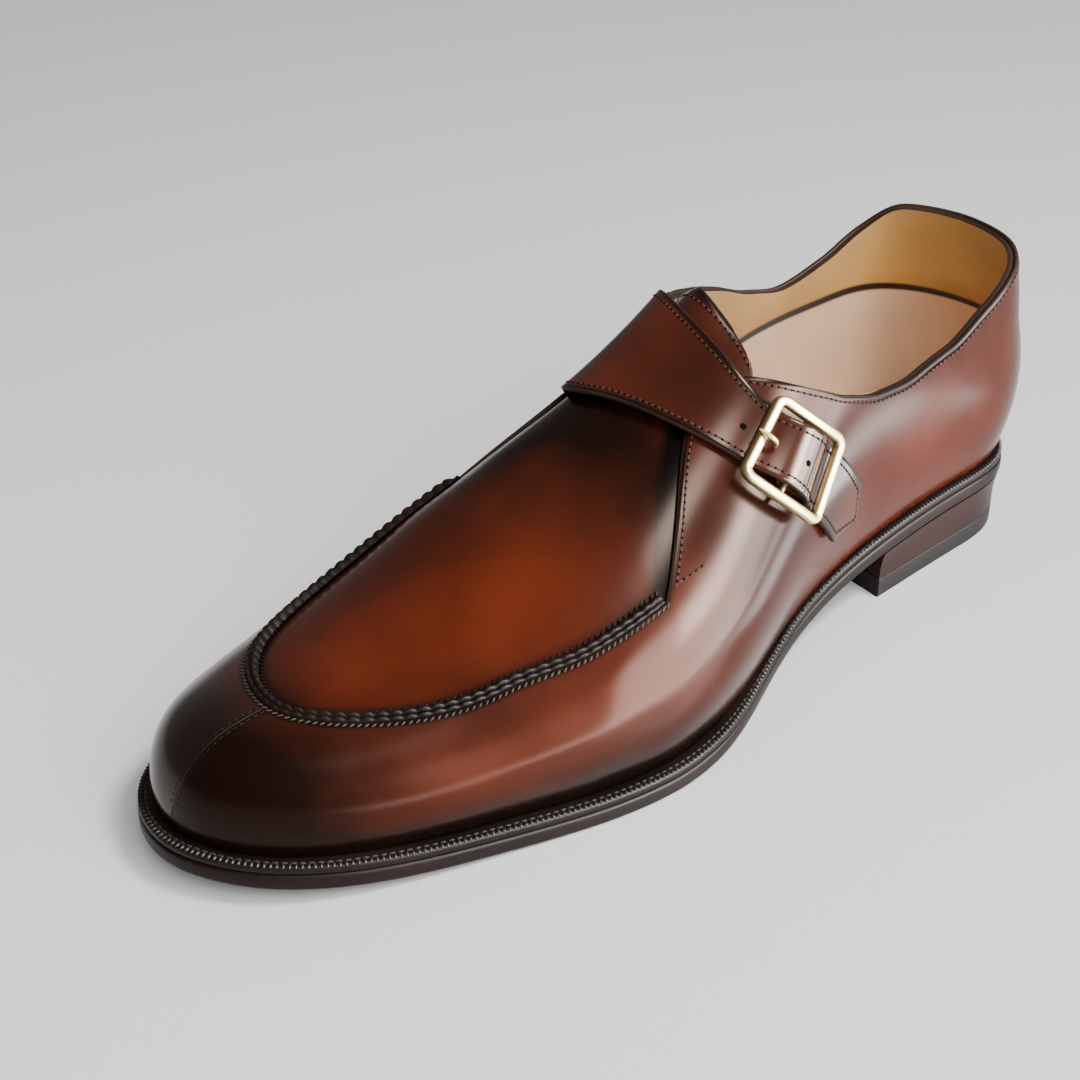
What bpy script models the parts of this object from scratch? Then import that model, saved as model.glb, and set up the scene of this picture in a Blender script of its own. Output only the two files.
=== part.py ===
"""A left monk strap shoe: upper and overlays on one last, welted sole, heel and buckle.

Metres. +X runs to the toe, +Y to the outer side, +Z up. The origin is on the floor under the heel's centre.
Places on the last have two coordinates. Girth is the distance along the feather line from the back of the
seat, round the heel and along to the tip of the toe. Turn goes round the section: 0 at the outer feather
line, 1 on the ridge, 2 at the inner feather line. Depth is measured along the last's normal.
"""
import math

import bmesh
import bpy
import numpy as np

MM = 0.001

# Driving sizes
LAST_LENGTH = 290 * MM
BALL_WIDTH = 98 * MM
INSTEP_HEIGHT = 70 * MM
HEEL_HEIGHT = 18 * MM
TOE_SPRING = 6 * MM
OUTSOLE_THICKNESS = 4.4 * MM
WELT_THICKNESS = 2.2 * MM
WELT_LAP = 4.5 * MM
FOREPART_EDGE = 4.2 * MM
WAIST_EDGE = 2.0 * MM
SEAT_EDGE = 2.5 * MM
TOP_PIECE_THICKNESS = 6.0 * MM
HEEL_TAPER = 1.0 * MM
HEEL_LENGTH = 73 * MM
BREAST_HOLLOW = 2.5 * MM
INSOLE_THICKNESS = 3.5 * MM
UPPER_WALL = 1.6 * MM
QUARTER_THICKNESS = 1.2 * MM
QUARTER_RISE = 0.3 * MM
STRAP_THICKNESS = 1.7 * MM
TONGUE_THICKNESS = 1.6 * MM
SEAM_WIDTH = 3.2 * MM
SEAM_RISE = 2.4 * MM
CLEARANCE = 0.3 * MM
MERGE = 0.004 * MM

# The last's rounds and back line
HEEL_CENTRE = 35 * MM
HEEL_ROUND = 34 * MM
TOE_ROUND = 0.20
TOE_WALL = 26 * MM
BACK_BULGE = 4.5 * MM
BACK_LEAN = 6.0 * MM

# Buckle
BUCKLE_LENGTH = 24 * MM
BUCKLE_SPAN = 26 * MM
BUCKLE_CORNER = 3.5 * MM
BUCKLE_SHIFT = 0.8 * MM
HOLE_SHIFT = 0.042
BUCKLE_WIRE = 1.25 * MM
BAR_WIRE = 0.9 * MM
PRONG_WIRE = 0.6 * MM
TAB_THICKNESS = 1.0 * MM
TAB_WIDTH = 13 * MM
TAB_SLOT = 3.4 * MM
TAB_TAIL = 9 * MM
TAIL_EASE = 7 * MM
TAB_RETURN = 6 * MM
HOLE_SIDE = 3.0 * MM
HOLE_LEAD = 6.8 * MM

# Sections of the last. Widths are shares of the ball width and heights shares of the instep height.
# station, feather outer and inner, overhang outer and inner, bulge height, ridge height,
# ridge side shift, roundness outer and inner
SECTIONS = (
    (0.00, 0.270, 0.290, 0.035, 0.035, 0.31, 1.68, 0.00, 2.60, 2.60),
    (0.12, 0.272, 0.295, 0.035, 0.035, 0.31, 1.70, 0.00, 2.60, 2.60),
    (0.25, 0.288, 0.285, 0.040, 0.050, 0.32, 1.60, 0.00, 2.50, 2.50),
    (0.40, 0.340, 0.215, 0.055, 0.095, 0.31, 1.25, -0.02, 2.20, 2.30),
    (0.52, 0.455, 0.290, 0.050, 0.085, 0.27, 1.00, -0.05, 2.00, 2.20),
    (0.62, 0.500, 0.380, 0.045, 0.060, 0.22, 0.84, -0.06, 2.00, 2.20),
    (0.72, 0.450, 0.435, 0.035, 0.040, 0.18, 0.62, -0.05, 2.05, 2.25),
    (0.82, 0.362, 0.425, 0.025, 0.025, 0.13, 0.47, -0.03, 2.10, 2.25),
    (0.91, 0.292, 0.405, 0.015, 0.015, 0.10, 0.38, -0.02, 2.20, 2.25),
    (1.00, 0.245, 0.385, 0.010, 0.010, 0.08, 0.35, 0.00, 2.20, 2.20),
)
# Underside of the sole: station, share of the heel height, share of the toe spring
PITCH = (
    (0.00, 1.00, 0.00),
    (0.12, 0.97, 0.00),
    (0.24, 0.87, 0.00),
    (0.40, 0.42, 0.00),
    (0.52, 0.12, 0.00),
    (0.62, 0.00, 0.00),
    (0.70, 0.00, 0.00),
    (0.82, 0.00, 0.20),
    (0.91, 0.00, 0.52),
    (1.00, 0.00, 1.00),
)
# Sole edge beyond the feather line: station, share of the forepart's edge, of the waist's, of the seat's
SOLE_EDGE = (
    (0.00, 0.0, 0.0, 1.0),
    (0.20, 0.0, 0.0, 1.0),
    (0.34, 0.0, 1.0, 0.0),
    (0.44, 0.1, 0.9, 0.0),
    (0.58, 1.0, 0.0, 0.0),
    (1.00, 1.0, 0.0, 0.0),
)
# Top edge of the outer and inner quarter: girth share, turns up from the outer and the inner feather line.
# Collar first, then the inner side's strap root, then the facings down to the apron's corners.
TOP_EDGE = (
    (-0.100, 0.372, 0.372),
    (0.000, 0.367, 0.367),
    (0.060, 0.350, 0.336),
    (0.120, 0.322, 0.306),
    (0.180, 0.296, 0.292),
    (0.235, 0.294, 0.316),
    (0.290, 0.318, 0.374),
    (0.343, 0.384, 0.462),
    (0.380, 0.468, 0.560),
    (0.405, 0.545, 0.640),
    (0.426, 0.622, 0.640),
    (0.449, 0.705, 0.640),
    (0.468, 0.738, 0.640),
    (0.491, 0.732, 0.640),
    (0.512, 0.700, 0.640),
    (0.535, 0.650, 0.625),
    (0.560, 0.590, 0.590),
    (0.585, 0.530, 0.545),
    (0.609, 0.472, 0.495),
)
# Apron seam along the sides: station, turns up from the outer and the inner feather line
SEAM_SIDES = (
    (0.609, 0.472, 0.495),
    (0.680, 0.484, 0.476),
    (0.760, 0.530, 0.470),
    (0.912, 0.540, 0.470),
)
SEAM_START = 0.609
SEAM_BEND = 0.760
SEAM_FRONT = 0.912
STRAP_REAR = 0.405
STRAP_FRONT = 0.512
LIP = 0.468
# Strap from the inner quarter over the instep to its tip: share of the run, front edge's girth share and turn,
# rear edge's girth share and turn
STRAP = (
    (0.00, 0.512, 1.360, 0.405, 1.360),
    (0.13, 0.529, 1.200, 0.420, 1.200),
    (0.30, 0.525, 0.960, 0.436, 0.960),
    (0.46, 0.510, 0.740, 0.444, 0.745),
    (0.58, 0.488, 0.585, 0.440, 0.600),
    (0.80, 0.436, 0.345, 0.392, 0.388),
    (0.94, 0.396, 0.222, 0.350, 0.268),
    (1.00, 0.379, 0.172, 0.333, 0.218),
)
STRAP_POINT = (0.335, 0.155)
BUCKLE_PLACE = 0.715
# Tongue: station, outer turn, inner turn, rise of its middle as a share of the room under the strap
TONGUE = (
    (0.560, 0.72, 1.28, 0.0),
    (0.520, 0.68, 1.32, 0.0),
    (0.485, 0.64, 1.36, 0.0),
    (0.468, 0.63, 1.37, 0.1),
    (0.450, 0.63, 1.37, 0.7),
    (0.438, 0.64, 1.36, 1.0),
    (0.430, 0.66, 1.34, 1.0),
    (0.425, 0.71, 1.29, 1.0),
    (0.422, 0.79, 1.21, 1.0),
)
TONGUE_SKEW = 0.020
TURN_KNOTS = np.array((0.0, 0.17, 0.43, 0.68, 1.0, 1.32, 1.57, 1.83, 2.0))
SECTION_ANGLES = (30, 60)

# Columns of the solids' grids, as shares from the feather line to the top edge and on to the ridge
WALL_COLUMNS = (0.0, 0.12, 0.28, 0.46, 0.63, 0.78, 0.90, 1.0)
APRON_COLUMNS = (0.25, 0.5, 0.75, 1.0)
HEEL_ANGLES = (90, 76, 62, 48, 34, 20, 8)
TOE_ANGLES = (42, 50, 58, 66, 74, 82, 90)
SIDE_STATIONS = (
    0.117, 0.146, 0.175, 0.202, 0.235, 0.267, 0.305, 0.343, 0.380, 0.405, 0.426, 0.449, 0.468, 0.491, 0.512,
    0.535, 0.560, 0.585, 0.609, 0.640, 0.680, 0.720, 0.762, 0.800, 0.836, 0.868, 0.889, 0.900, 0.908, 0.912,
)


def cardinal(knots, at):
    """Weights of the knots' values in the natural cubic spline, one row for each place in at."""
    knots = np.asarray(knots, float)
    at = np.asarray(at, float)
    count = len(knots)
    steps = np.diff(knots)
    bends = np.eye(count)
    slopes = np.zeros((count, count))
    for i in range(1, count - 1):
        before, after = steps[i - 1], steps[i]
        bends[i, i - 1 : i + 2] = before, 2 * (before + after), after
        slopes[i, i - 1 : i + 2] = 6 / before, -6 / before - 6 / after, 6 / after
    second = np.linalg.solve(bends, slopes)
    k = np.clip(np.searchsorted(knots, at, side="right") - 1, 0, count - 2)
    done = at - knots[k]
    left = knots[k + 1] - at
    step = steps[k]
    unit = np.eye(count)
    linear = (left / step)[..., None] * unit[k] + (done / step)[..., None] * unit[k + 1]
    low = ((left**3 / step - step * left) / 6)[..., None] * second[k]
    high = ((done**3 / step - step * done) / 6)[..., None] * second[k + 1]
    return linear + low + high


def follow(table, column, at):
    """A smooth value from one column of a table, its first column the place."""
    table = np.array(table)
    return cardinal(table[:, 0], at) @ table[:, column]


def trend(table, column, at):
    """A smooth value from one column of a table that never overshoots the table's own values."""
    table = np.array(table)
    place, value = table[:, 0], table[:, column]
    steps, rises = np.diff(place), np.diff(value)
    slopes = rises / steps
    bends = np.zeros(len(place))
    same = slopes[:-1] * slopes[1:] > 0
    before, after = slopes[:-1][same], slopes[1:][same]
    near, far = (2 * steps[1:] + steps[:-1])[same], (steps[1:] + 2 * steps[:-1])[same]
    bends[1:-1][same] = (near + far) / (near / before + far / after)
    bends[0], bends[-1] = slopes[0], slopes[-1]
    at = np.clip(at, place[0], place[-1])
    k = np.clip(np.searchsorted(place, at, side="right") - 1, 0, len(steps) - 1)
    t = (at - place[k]) / steps[k]
    rest = 1 - t
    ends = value[k] * (1 + 2 * t) * rest**2 + value[k + 1] * (1 + 2 * rest) * t**2
    return ends + steps[k] * (bends[k] * t * rest**2 - bends[k + 1] * rest * t**2)


def control_points():
    """Each section's nine points: offsets across and heights over the feather line."""
    across, height = [], []
    for _, edge_out, edge_in, over_out, over_in, bulge, ridge, shift, round_out, round_in in SECTIONS:
        low, high = bulge * INSTEP_HEIGHT, ridge * INSTEP_HEIGHT
        middle = shift * BALL_WIDTH
        halves = []
        for edge, over, power, side in ((edge_out, over_out, round_out, 1), (edge_in, over_in, round_in, -1)):
            wide = side * (edge + over) * BALL_WIDTH
            half = [(side * edge * BALL_WIDTH, 0.0), (wide, low)]
            for angle in SECTION_ANGLES:
                reach = math.cos(math.radians(angle)) ** (2 / power)
                lift = math.sin(math.radians(angle)) ** (2 / power)
                half.append((middle + (wide - middle) * reach, low + (high - low) * lift))
            halves.append(half)
        points = halves[0] + [(middle, high)] + halves[1][::-1]
        across.append([point[0] for point in points])
        height.append([point[1] for point in points])
    return np.array(across), np.array(height)


STATIONS = [row[0] for row in SECTIONS]
ACROSS, HEIGHT = control_points()
TOE_START = (1 - TOE_ROUND) * LAST_LENGTH
TOE_REACH = TOE_ROUND * LAST_LENGTH
GIRTH_BACK = HEEL_ROUND * (1 - math.pi / 2)
GIRTH_TIP = TOE_START + TOE_REACH * math.pi / 2
UPPER_OUTSIDE = QUARTER_RISE - QUARTER_THICKNESS - CLEARANCE
UPPER_INSIDE = UPPER_OUTSIDE - UPPER_WALL
SOLE_BUILD = OUTSOLE_THICKNESS + WELT_THICKNESS + 2.5 * CLEARANCE


def sole_height(x):
    """The underside of the sole over the floor, by the place along the last."""
    share = np.clip(x / LAST_LENGTH, 0, 1)
    rise = follow(PITCH, 1, share) * HEEL_HEIGHT + follow(PITCH, 2, share) * TOE_SPRING
    return np.maximum(rise, 0)


def closing(angle):
    """The width left at an angle from a round's start, 0, to its tip, a quarter turn."""
    s = np.sin(angle)
    return np.cos(angle) * np.sqrt((1 + s + s * s) / (1 + s))


def back_line(height):
    """How far the back of the heel stands behind the feather line."""
    share = height / INSTEP_HEIGHT
    bulge = BACK_BULGE * np.sin(np.clip(share / 0.62, 0, 1) * math.pi)
    return bulge - BACK_LEAN * np.clip(share - 0.30, 0, None) ** 2 / 0.36


def surface(girth, turn):
    """Points of the last."""
    girth, turn = np.broadcast_arrays(np.asarray(girth, float), np.asarray(turn, float))
    heel_angle = np.clip((HEEL_ROUND - girth) / HEEL_ROUND, 0, None)
    toe_angle = np.clip((girth - TOE_START) / TOE_REACH, 0, math.pi / 2)
    weights = cardinal(TURN_KNOTS, turn)
    x = np.maximum(girth, HEEL_ROUND)
    height = (cardinal(STATIONS, np.clip(x / LAST_LENGTH, 0, 1)) @ HEIGHT * weights).sum(-1)
    reach = HEEL_ROUND + back_line(height)
    x = np.where(girth < HEEL_ROUND, HEEL_ROUND - reach * np.sin(heel_angle), x)
    x = np.where(girth > TOE_START, TOE_START + TOE_REACH * np.sin(toe_angle), x)
    rows = cardinal(STATIONS, np.clip(x / LAST_LENGTH, 0, 1))
    y = (rows @ ACROSS * weights).sum(-1)
    z = (rows @ HEIGHT * weights).sum(-1)
    middle = (rows @ ACROSS[:, [0, -1]]).mean(-1)
    y = middle + (y - middle) * closing(toe_angle) * closing(heel_angle)
    drop = np.clip((x - (LAST_LENGTH - TOE_WALL)) / TOE_WALL, 0, 1)
    z = z * np.sqrt(np.clip(1 - drop**3, 0, 1))
    return np.stack((x - HEEL_CENTRE, y, z + sole_height(x) + SOLE_BUILD), -1)


def normal(girth, turn):
    """The last's outward normals."""
    step, bit = 0.2 * MM, 0.002
    along = surface(girth + step, turn) - surface(girth - step, turn)
    around = surface(girth, turn + bit) - surface(girth, turn - bit)
    out = np.cross(around, along)
    out[np.asarray(girth) > GIRTH_TIP - 0.1 * MM] = (1, 0, 0)
    return out / np.linalg.norm(out, axis=-1, keepdims=True)


def skin(places, depth):
    """Points at a depth over the last, negative inside it."""
    places = np.asarray(places, float)
    girth, turn = places[..., 0], places[..., 1]
    turn = np.where(girth < GIRTH_BACK + MERGE, np.minimum(turn, 2 - turn), turn)
    return surface(girth, turn) + normal(girth, turn) * np.asarray(depth)[..., None]


def girth_of(share):
    """The girth of a place in front of the heel's round, by its share of the length."""
    x = share * LAST_LENGTH
    if x <= TOE_START:
        return x
    return TOE_START + TOE_REACH * math.asin(min((x - TOE_START) / TOE_REACH, 1))


def material(name, color, roughness, metallic=0.0):
    """One Principled material."""
    made = bpy.data.materials.new(name)
    made.use_nodes = True
    shader = made.node_tree.nodes["Principled BSDF"]
    shader.inputs["Base Color"].default_value = (*color, 1)
    shader.inputs["Roughness"].default_value = roughness
    shader.inputs["Metallic"].default_value = metallic
    return made


def solid(name, polygons, look):
    """An object from polygons given as lists of points, which are merged where they meet."""
    points, faces = [], []
    for polygon in polygons:
        first = len(points)
        points += [[float(value) for value in point] for point in polygon]
        faces += [(first, first + i, first + i + 1) for i in range(1, len(polygon) - 1)]
    mesh = bpy.data.meshes.new(name)
    mesh.from_pydata(points, [], faces)
    work = bmesh.new()
    work.from_mesh(mesh)
    bmesh.ops.remove_doubles(work, verts=work.verts, dist=MERGE)
    bmesh.ops.recalc_face_normals(work, faces=work.faces)
    work.to_mesh(mesh)
    work.free()
    mesh.shade_smooth()
    mesh.set_sharp_from_angle(angle=math.radians(40))
    mesh.materials.append(look)
    made = bpy.data.objects.new(name, mesh)
    bpy.context.scene.collection.objects.link(made)
    return made


def spot(girth, turn):
    """One name for each spot of the last, the same from both sides where the halves meet."""
    if girth > GIRTH_TIP - MERGE:
        return (round(GIRTH_TIP, 6), 0.0)
    if girth < GIRTH_BACK + MERGE:
        turn = min(turn, 2 - turn)
    return (round(girth, 8), round(turn, 8))


def shell(name, cells, outside, inside, look):
    """A wall over cells of places: its outer skin, inner skin and the rims where the cells end."""
    seen = {}
    for cell in cells:
        for place in cell:
            seen.setdefault(tuple(place), None)
    keys = list(seen)
    outer = dict(zip(keys, outside(np.array(keys))))
    inner = dict(zip(keys, inside(np.array(keys))))
    spots = {key: spot(*key) for key in keys}
    last = dict(zip(keys, surface(*np.array(keys).T)))
    polygons, edges = [], {}
    for cell in cells:
        cell = [tuple(place) for place in cell]
        if len(cell) == 4:
            across = [np.linalg.norm(last[cell[i]] - last[cell[i + 2]]) for i in (0, 1)]
            if across[1] < across[0] - MERGE:
                cell = cell[1:] + cell[:1]
        polygons.append([outer[place] for place in cell])
        polygons.append([inner[place] for place in (cell[0], *reversed(cell[1:]))])
        for a, b in zip(cell, cell[1:] + cell[:1]):
            if spots[a] != spots[b]:
                edges.setdefault(frozenset((spots[a], spots[b])), []).append((a, b))
    for pairs in edges.values():
        if len(pairs) == 1:
            a, b = pairs[0]
            polygons.append([outer[b], outer[a], inner[a], inner[b]])
    return solid(name, polygons, look)


def grid_cells(rows):
    """Cells between rows of places with equal counts."""
    cells = []
    for near, far in zip(rows, rows[1:]):
        for i in range(len(near) - 1):
            cells.append([near[i], far[i], far[i + 1], near[i + 1]])
    return cells


def girth_rows():
    """The girths of the grids' rows, from the back of the heel to the tip of the toe."""
    heel = [HEEL_ROUND * (1 - math.radians(angle)) for angle in HEEL_ANGLES]
    toe = [TOE_START + TOE_REACH * math.radians(angle) for angle in TOE_ANGLES]
    return heel + [girth_of(share) for share in SIDE_STATIONS] + toe


def place_share(girth):
    """A row's place as the tables state it: girth over length behind the toe's round, else length."""
    if girth <= TOE_START:
        return girth / LAST_LENGTH
    return (TOE_START + TOE_REACH * math.sin((girth - TOE_START) / TOE_REACH)) / LAST_LENGTH


def top_edge(girth, side):
    """The turn of the quarter's top edge at a girth."""
    share = place_share(girth)
    column = 1 if side > 0 or girth < GIRTH_BACK + MERGE else 2
    if share < SEAM_START:
        value = float(trend(TOP_EDGE, column, share))
    else:
        reach = min(max((share - SEAM_BEND) / (SEAM_FRONT - SEAM_BEND), 0), 1)
        if reach > 1 - 1e-6:
            reach = 1
        value = 1 - (1 - float(trend(SEAM_SIDES, column, share))) * math.sqrt(1 - reach**2)
    return value if side > 0 else 2 - value


def wall_row(girth, side):
    """The places of one wall row, from the feather line to the top edge."""
    edge = top_edge(girth, side)
    if side > 0:
        return [(girth, edge * share) for share in WALL_COLUMNS]
    return [(girth, 2 - (2 - edge) * share) for share in WALL_COLUMNS]


def upper_cells():
    """The upper's cells: both walls and, between them in front of the collar, the apron."""
    cells = []
    girths = girth_rows()
    for side in (1, -1):
        walls = [wall_row(girth, side) for girth in girths]
        cells += grid_cells(walls)
        aprons = []
        for girth in girths:
            if LIP - 1e-6 < place_share(girth) < SEAM_FRONT + 1e-6:
                low = top_edge(girth, side)
                aprons.append([(girth, low + (1 - low) * share) for share in (0.0, *APRON_COLUMNS)])
        cells += grid_cells(aprons)
    return cells


def parted(depth, side):
    """A skin at a depth that stops clear of the middle, where the two quarters meet."""

    def place_all(places):
        points = skin(places, np.full(len(places), depth))
        at_back = places[:, 0] < GIRTH_BACK + 0.01 * MM
        at_split = (np.abs(places[:, 1] - 1) < 1e-6) | (places[:, 0] > GIRTH_TIP - 0.01 * MM)
        at_split &= places[:, 0] > girth_of(SEAM_FRONT) - 0.01 * MM
        points[at_back | at_split, 1] += side * CLEARANCE / 2
        return points

    return place_all


def plain(depth):
    """A skin at one depth."""
    return lambda places: skin(places, np.full(len(places), depth))


def strap_place(along, across):
    """A place on the strap by the share of its run and its share across, 0 at the rear edge and 1 in front."""
    front = float(follow(STRAP, 1, along)), float(follow(STRAP, 2, along))
    rear = float(follow(STRAP, 3, along)), float(follow(STRAP, 4, along))
    share = rear[0] + (front[0] - rear[0]) * across
    return share * LAST_LENGTH, rear[1] + (front[1] - rear[1]) * across


def strap_length():
    """The length of the strap's middle line."""
    line = surface(*np.array([strap_place(share, 0.5) for share in np.linspace(0, 1, 60)]).T)
    return float(np.linalg.norm(np.diff(line, axis=0), axis=1).sum())


BAR_DEPTH = QUARTER_RISE + CLEARANCE + TAB_THICKNESS + CLEARANCE + BAR_WIRE
BRIDGE_DEPTH = BAR_DEPTH + BAR_WIRE + CLEARANCE + max(2 * PRONG_WIRE, TAB_THICKNESS) + CLEARANCE
STRAP_DEPTH = QUARTER_RISE + 2 * CLEARANCE
TAIL_DEPTH = QUARTER_RISE + 2 * CLEARANCE + TAB_THICKNESS
FRAME_DEPTH = TAIL_DEPTH + STRAP_THICKNESS + CLEARANCE + BUCKLE_WIRE
STRAP_RUN = strap_length()
HOLE_PLACE = BUCKLE_PLACE - HOLE_LEAD / STRAP_RUN


def strap_lift(along):
    """How high the strap's underside lies: on the quarter it starts from, and raised over the buckle's bar."""
    start = np.clip(along / STRAP[1][0], 0, 1)
    root = QUARTER_RISE - QUARTER_THICKNESS
    lead = (along - BUCKLE_PLACE) * STRAP_RUN
    bar, end = BAR_WIRE + CLEARANCE + TAB_THICKNESS, BUCKLE_LENGTH / 2
    leads = (-end - 1.5 * MM, 2 * BUCKLE_WIRE - end, -HOLE_LEAD + HOLE_SIDE / 3, -bar, 0, bar, TAB_RETURN, TAB_TAIL)
    leads += (TAB_TAIL + TAIL_EASE,)
    high = BRIDGE_DEPTH - TAIL_DEPTH
    depths = (STRAP_DEPTH, TAIL_DEPTH - CLEARANCE, TAIL_DEPTH + 0.42 * high, TAIL_DEPTH + 0.88 * high)
    depths += (BRIDGE_DEPTH, TAIL_DEPTH + 0.97 * high, TAIL_DEPTH + 0.55 * high, TAIL_DEPTH, STRAP_DEPTH)
    return root + (np.interp(lead, leads, depths) - root) * start


def strap_columns():
    """The strap's shares across: the girth rows between its edges where it leaves the inner quarter."""
    inside = [share for share in SIDE_STATIONS if STRAP_REAR <= share <= STRAP_FRONT]
    return [(share - STRAP_REAR) / (STRAP_FRONT - STRAP_REAR) for share in inside]


def strap_rows():
    """The strap's shares along, with rows at both sides of the prong's hole."""
    half = HOLE_SIDE / 2 / STRAP_RUN
    bar, end = BUCKLE_PLACE, BUCKLE_LENGTH / 2
    shares = [0.0, 0.065, 0.13, 0.19, 0.25, 0.31, 0.37, 0.43, 0.49, 0.55]
    shares += [bar - lead / STRAP_RUN for lead in (end + 1.5 * MM, end - 2 * BUCKLE_WIRE)]
    shares += [HOLE_PLACE - half, HOLE_PLACE + half]
    lower = (-2.2 * MM, 0, 2.2 * MM, TAB_RETURN, TAB_TAIL, TAB_TAIL + TAIL_EASE)
    shares += [bar + lead / STRAP_RUN for lead in lower] + [0.95, 1.0]
    return shares


def quarter_medial(look):
    """The inner quarter and its strap, one piece of leather."""
    girths = girth_rows()
    cells = grid_cells([wall_row(girth, -1) for girth in girths])
    columns = strap_columns()
    shares = strap_rows()
    where = {}
    rows = []
    for along in shares:
        row = []
        for across, station in zip(columns, [s for s in SIDE_STATIONS if STRAP_REAR <= s <= STRAP_FRONT]):
            aside = HOLE_SHIFT * math.sin(math.pi * across) * min(along / HOLE_PLACE, 1)
            place = strap_place(along, across + aside)
            if along == 0.0:
                place = (girth_of(station), top_edge(girth_of(station), -1))
            where[place] = along
            row.append(place)
        rows.append(row)
    strap = grid_cells([row[::-1] for row in rows])
    hole_row = shares.index(HOLE_PLACE - HOLE_SIDE / 2 / STRAP_RUN)
    hole_column = (len(columns) - 1) // 2
    strap.pop(hole_row * (len(columns) - 1) + hole_column)
    tip = (STRAP_POINT[0] * LAST_LENGTH, STRAP_POINT[1])
    where[tip] = 1.0
    end = rows[-1]
    strap += [[end[i + 1], tip, end[i]] for i in range(len(end) - 1)]

    def depths(places, extra):
        points = parted(QUARTER_RISE - QUARTER_THICKNESS + extra[0], -1)(places)
        on_strap = [i for i, place in enumerate(places) if where.get(tuple(place), 0) > 0]
        alongs = np.array([where[tuple(places[i])] for i in on_strap])
        points[on_strap] = skin(places[on_strap], strap_lift(alongs) + extra[1])
        return points

    return shell(
        "quarter_medial",
        cells + strap,
        lambda places: depths(places, (QUARTER_THICKNESS, STRAP_THICKNESS)),
        lambda places: depths(places, (0, 0)),
        look,
    )


def quarter_lateral(look):
    """The outer quarter and wall."""
    cells = grid_cells([wall_row(girth, 1) for girth in girth_rows()])
    outside, inside = parted(QUARTER_RISE, 1), parted(QUARTER_RISE - QUARTER_THICKNESS, 1)
    return shell("quarter_lateral", cells, outside, inside, look)


def tongue(look):
    """The tongue, under the upper's lip and out behind the strap."""
    columns = np.linspace(0, 1, 9)
    stations = [row[0] for row in TONGUE]
    turned = [(-row[0], *row[1:]) for row in TONGUE]
    rows, rises = [], {}
    for share in np.linspace(stations[0], stations[-1], 11):
        low, high = float(trend(turned, 1, -share)), float(trend(turned, 2, -share))
        row = []
        done = (stations[0] - share) / (stations[0] - stations[-1])
        for across in columns:
            station = share - TONGUE_SKEW * done * across
            place = (station * LAST_LENGTH, low + (high - low) * across)
            middle = math.sin(math.pi * across) ** 4
            rises[place] = float(trend(turned, 3, -share)) * middle
            row.append(place)
        rows.append(row)
    under = UPPER_INSIDE - 2.6 * CLEARANCE
    room = STRAP_DEPTH - 2 * CLEARANCE - under

    def at(extra):
        return lambda places: skin(
            places, np.array([under + room * rises[tuple(place)] for place in places]) + extra
        )

    return shell("tongue", grid_cells([row[::-1] for row in rows]), at(0), at(-TONGUE_THICKNESS), look)


def sweep(name, rings, look, closed=False):
    """A solid through rings of points, capped at both ends or closed on itself."""
    polygons = []
    pairs = list(zip(rings, rings[1:]))
    if closed:
        pairs.append((rings[-1], rings[0]))
    for near, far in pairs:
        for i in range(len(near)):
            k = (i + 1) % len(near)
            polygons.append([near[i], near[k], far[k], far[i]])
    if not closed:
        polygons += [list(rings[0])[::-1], list(rings[-1])]
    return solid(name, polygons, look)


def apron_seam(look):
    """The raised seam round the apron, on the upper and against the quarters' edges."""
    girths = [girth for girth in girth_rows() if SEAM_START - 1e-6 <= place_share(girth) <= SEAM_FRONT + 1e-6]
    route = [(girth, top_edge(girth, 1)) for girth in girths]
    route += [(girth, top_edge(girth, -1)) for girth in reversed(girths[:-1])]
    base = UPPER_OUTSIDE + CLEARANCE
    profile = ((0.0, 0.0), (1.0, 0.0), (0.95, 0.6), (0.72, 0.95), (0.35, 1.0), (0.05, 0.65))
    points = skin(route, np.full(len(route), base))
    ups = normal(*np.array(route).T)
    rings = []
    for i, (point, up) in enumerate(zip(points, ups)):
        run = points[min(i + 1, len(points) - 1)] - points[max(i - 1, 0)]
        inward = np.cross(run, up)
        inward /= np.linalg.norm(inward)
        rings.append([
            point + inward * (CLEARANCE + across * SEAM_WIDTH) + up * rise * SEAM_RISE for across, rise in profile
        ])
    return sweep("apron_seam", rings, look)


def feather_point(girth, side, offset):
    """A place of the feather line in plan, moved outward."""
    turn = 0 if side > 0 else 2
    step = 0.2 * MM
    here = surface(girth, turn)[:2]
    ahead, behind = min(girth + step, GIRTH_TIP), girth - step
    run = surface(ahead, turn)[:2] - surface(behind, turn)[:2]
    out = np.array((-run[1], run[0])) * side
    if girth > GIRTH_TIP - step:
        out = np.array((1.0, 0.0))
    return here + out / np.linalg.norm(out) * offset


def sole_offset(girth):
    """How far the sole stands out of the feather line."""
    share = min(max(place_share(girth), 0), 1)
    parts = (FOREPART_EDGE, WAIST_EDGE, SEAT_EDGE)
    return sum(size * float(trend(SOLE_EDGE, i + 1, share)) for i, size in enumerate(parts))


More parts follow.
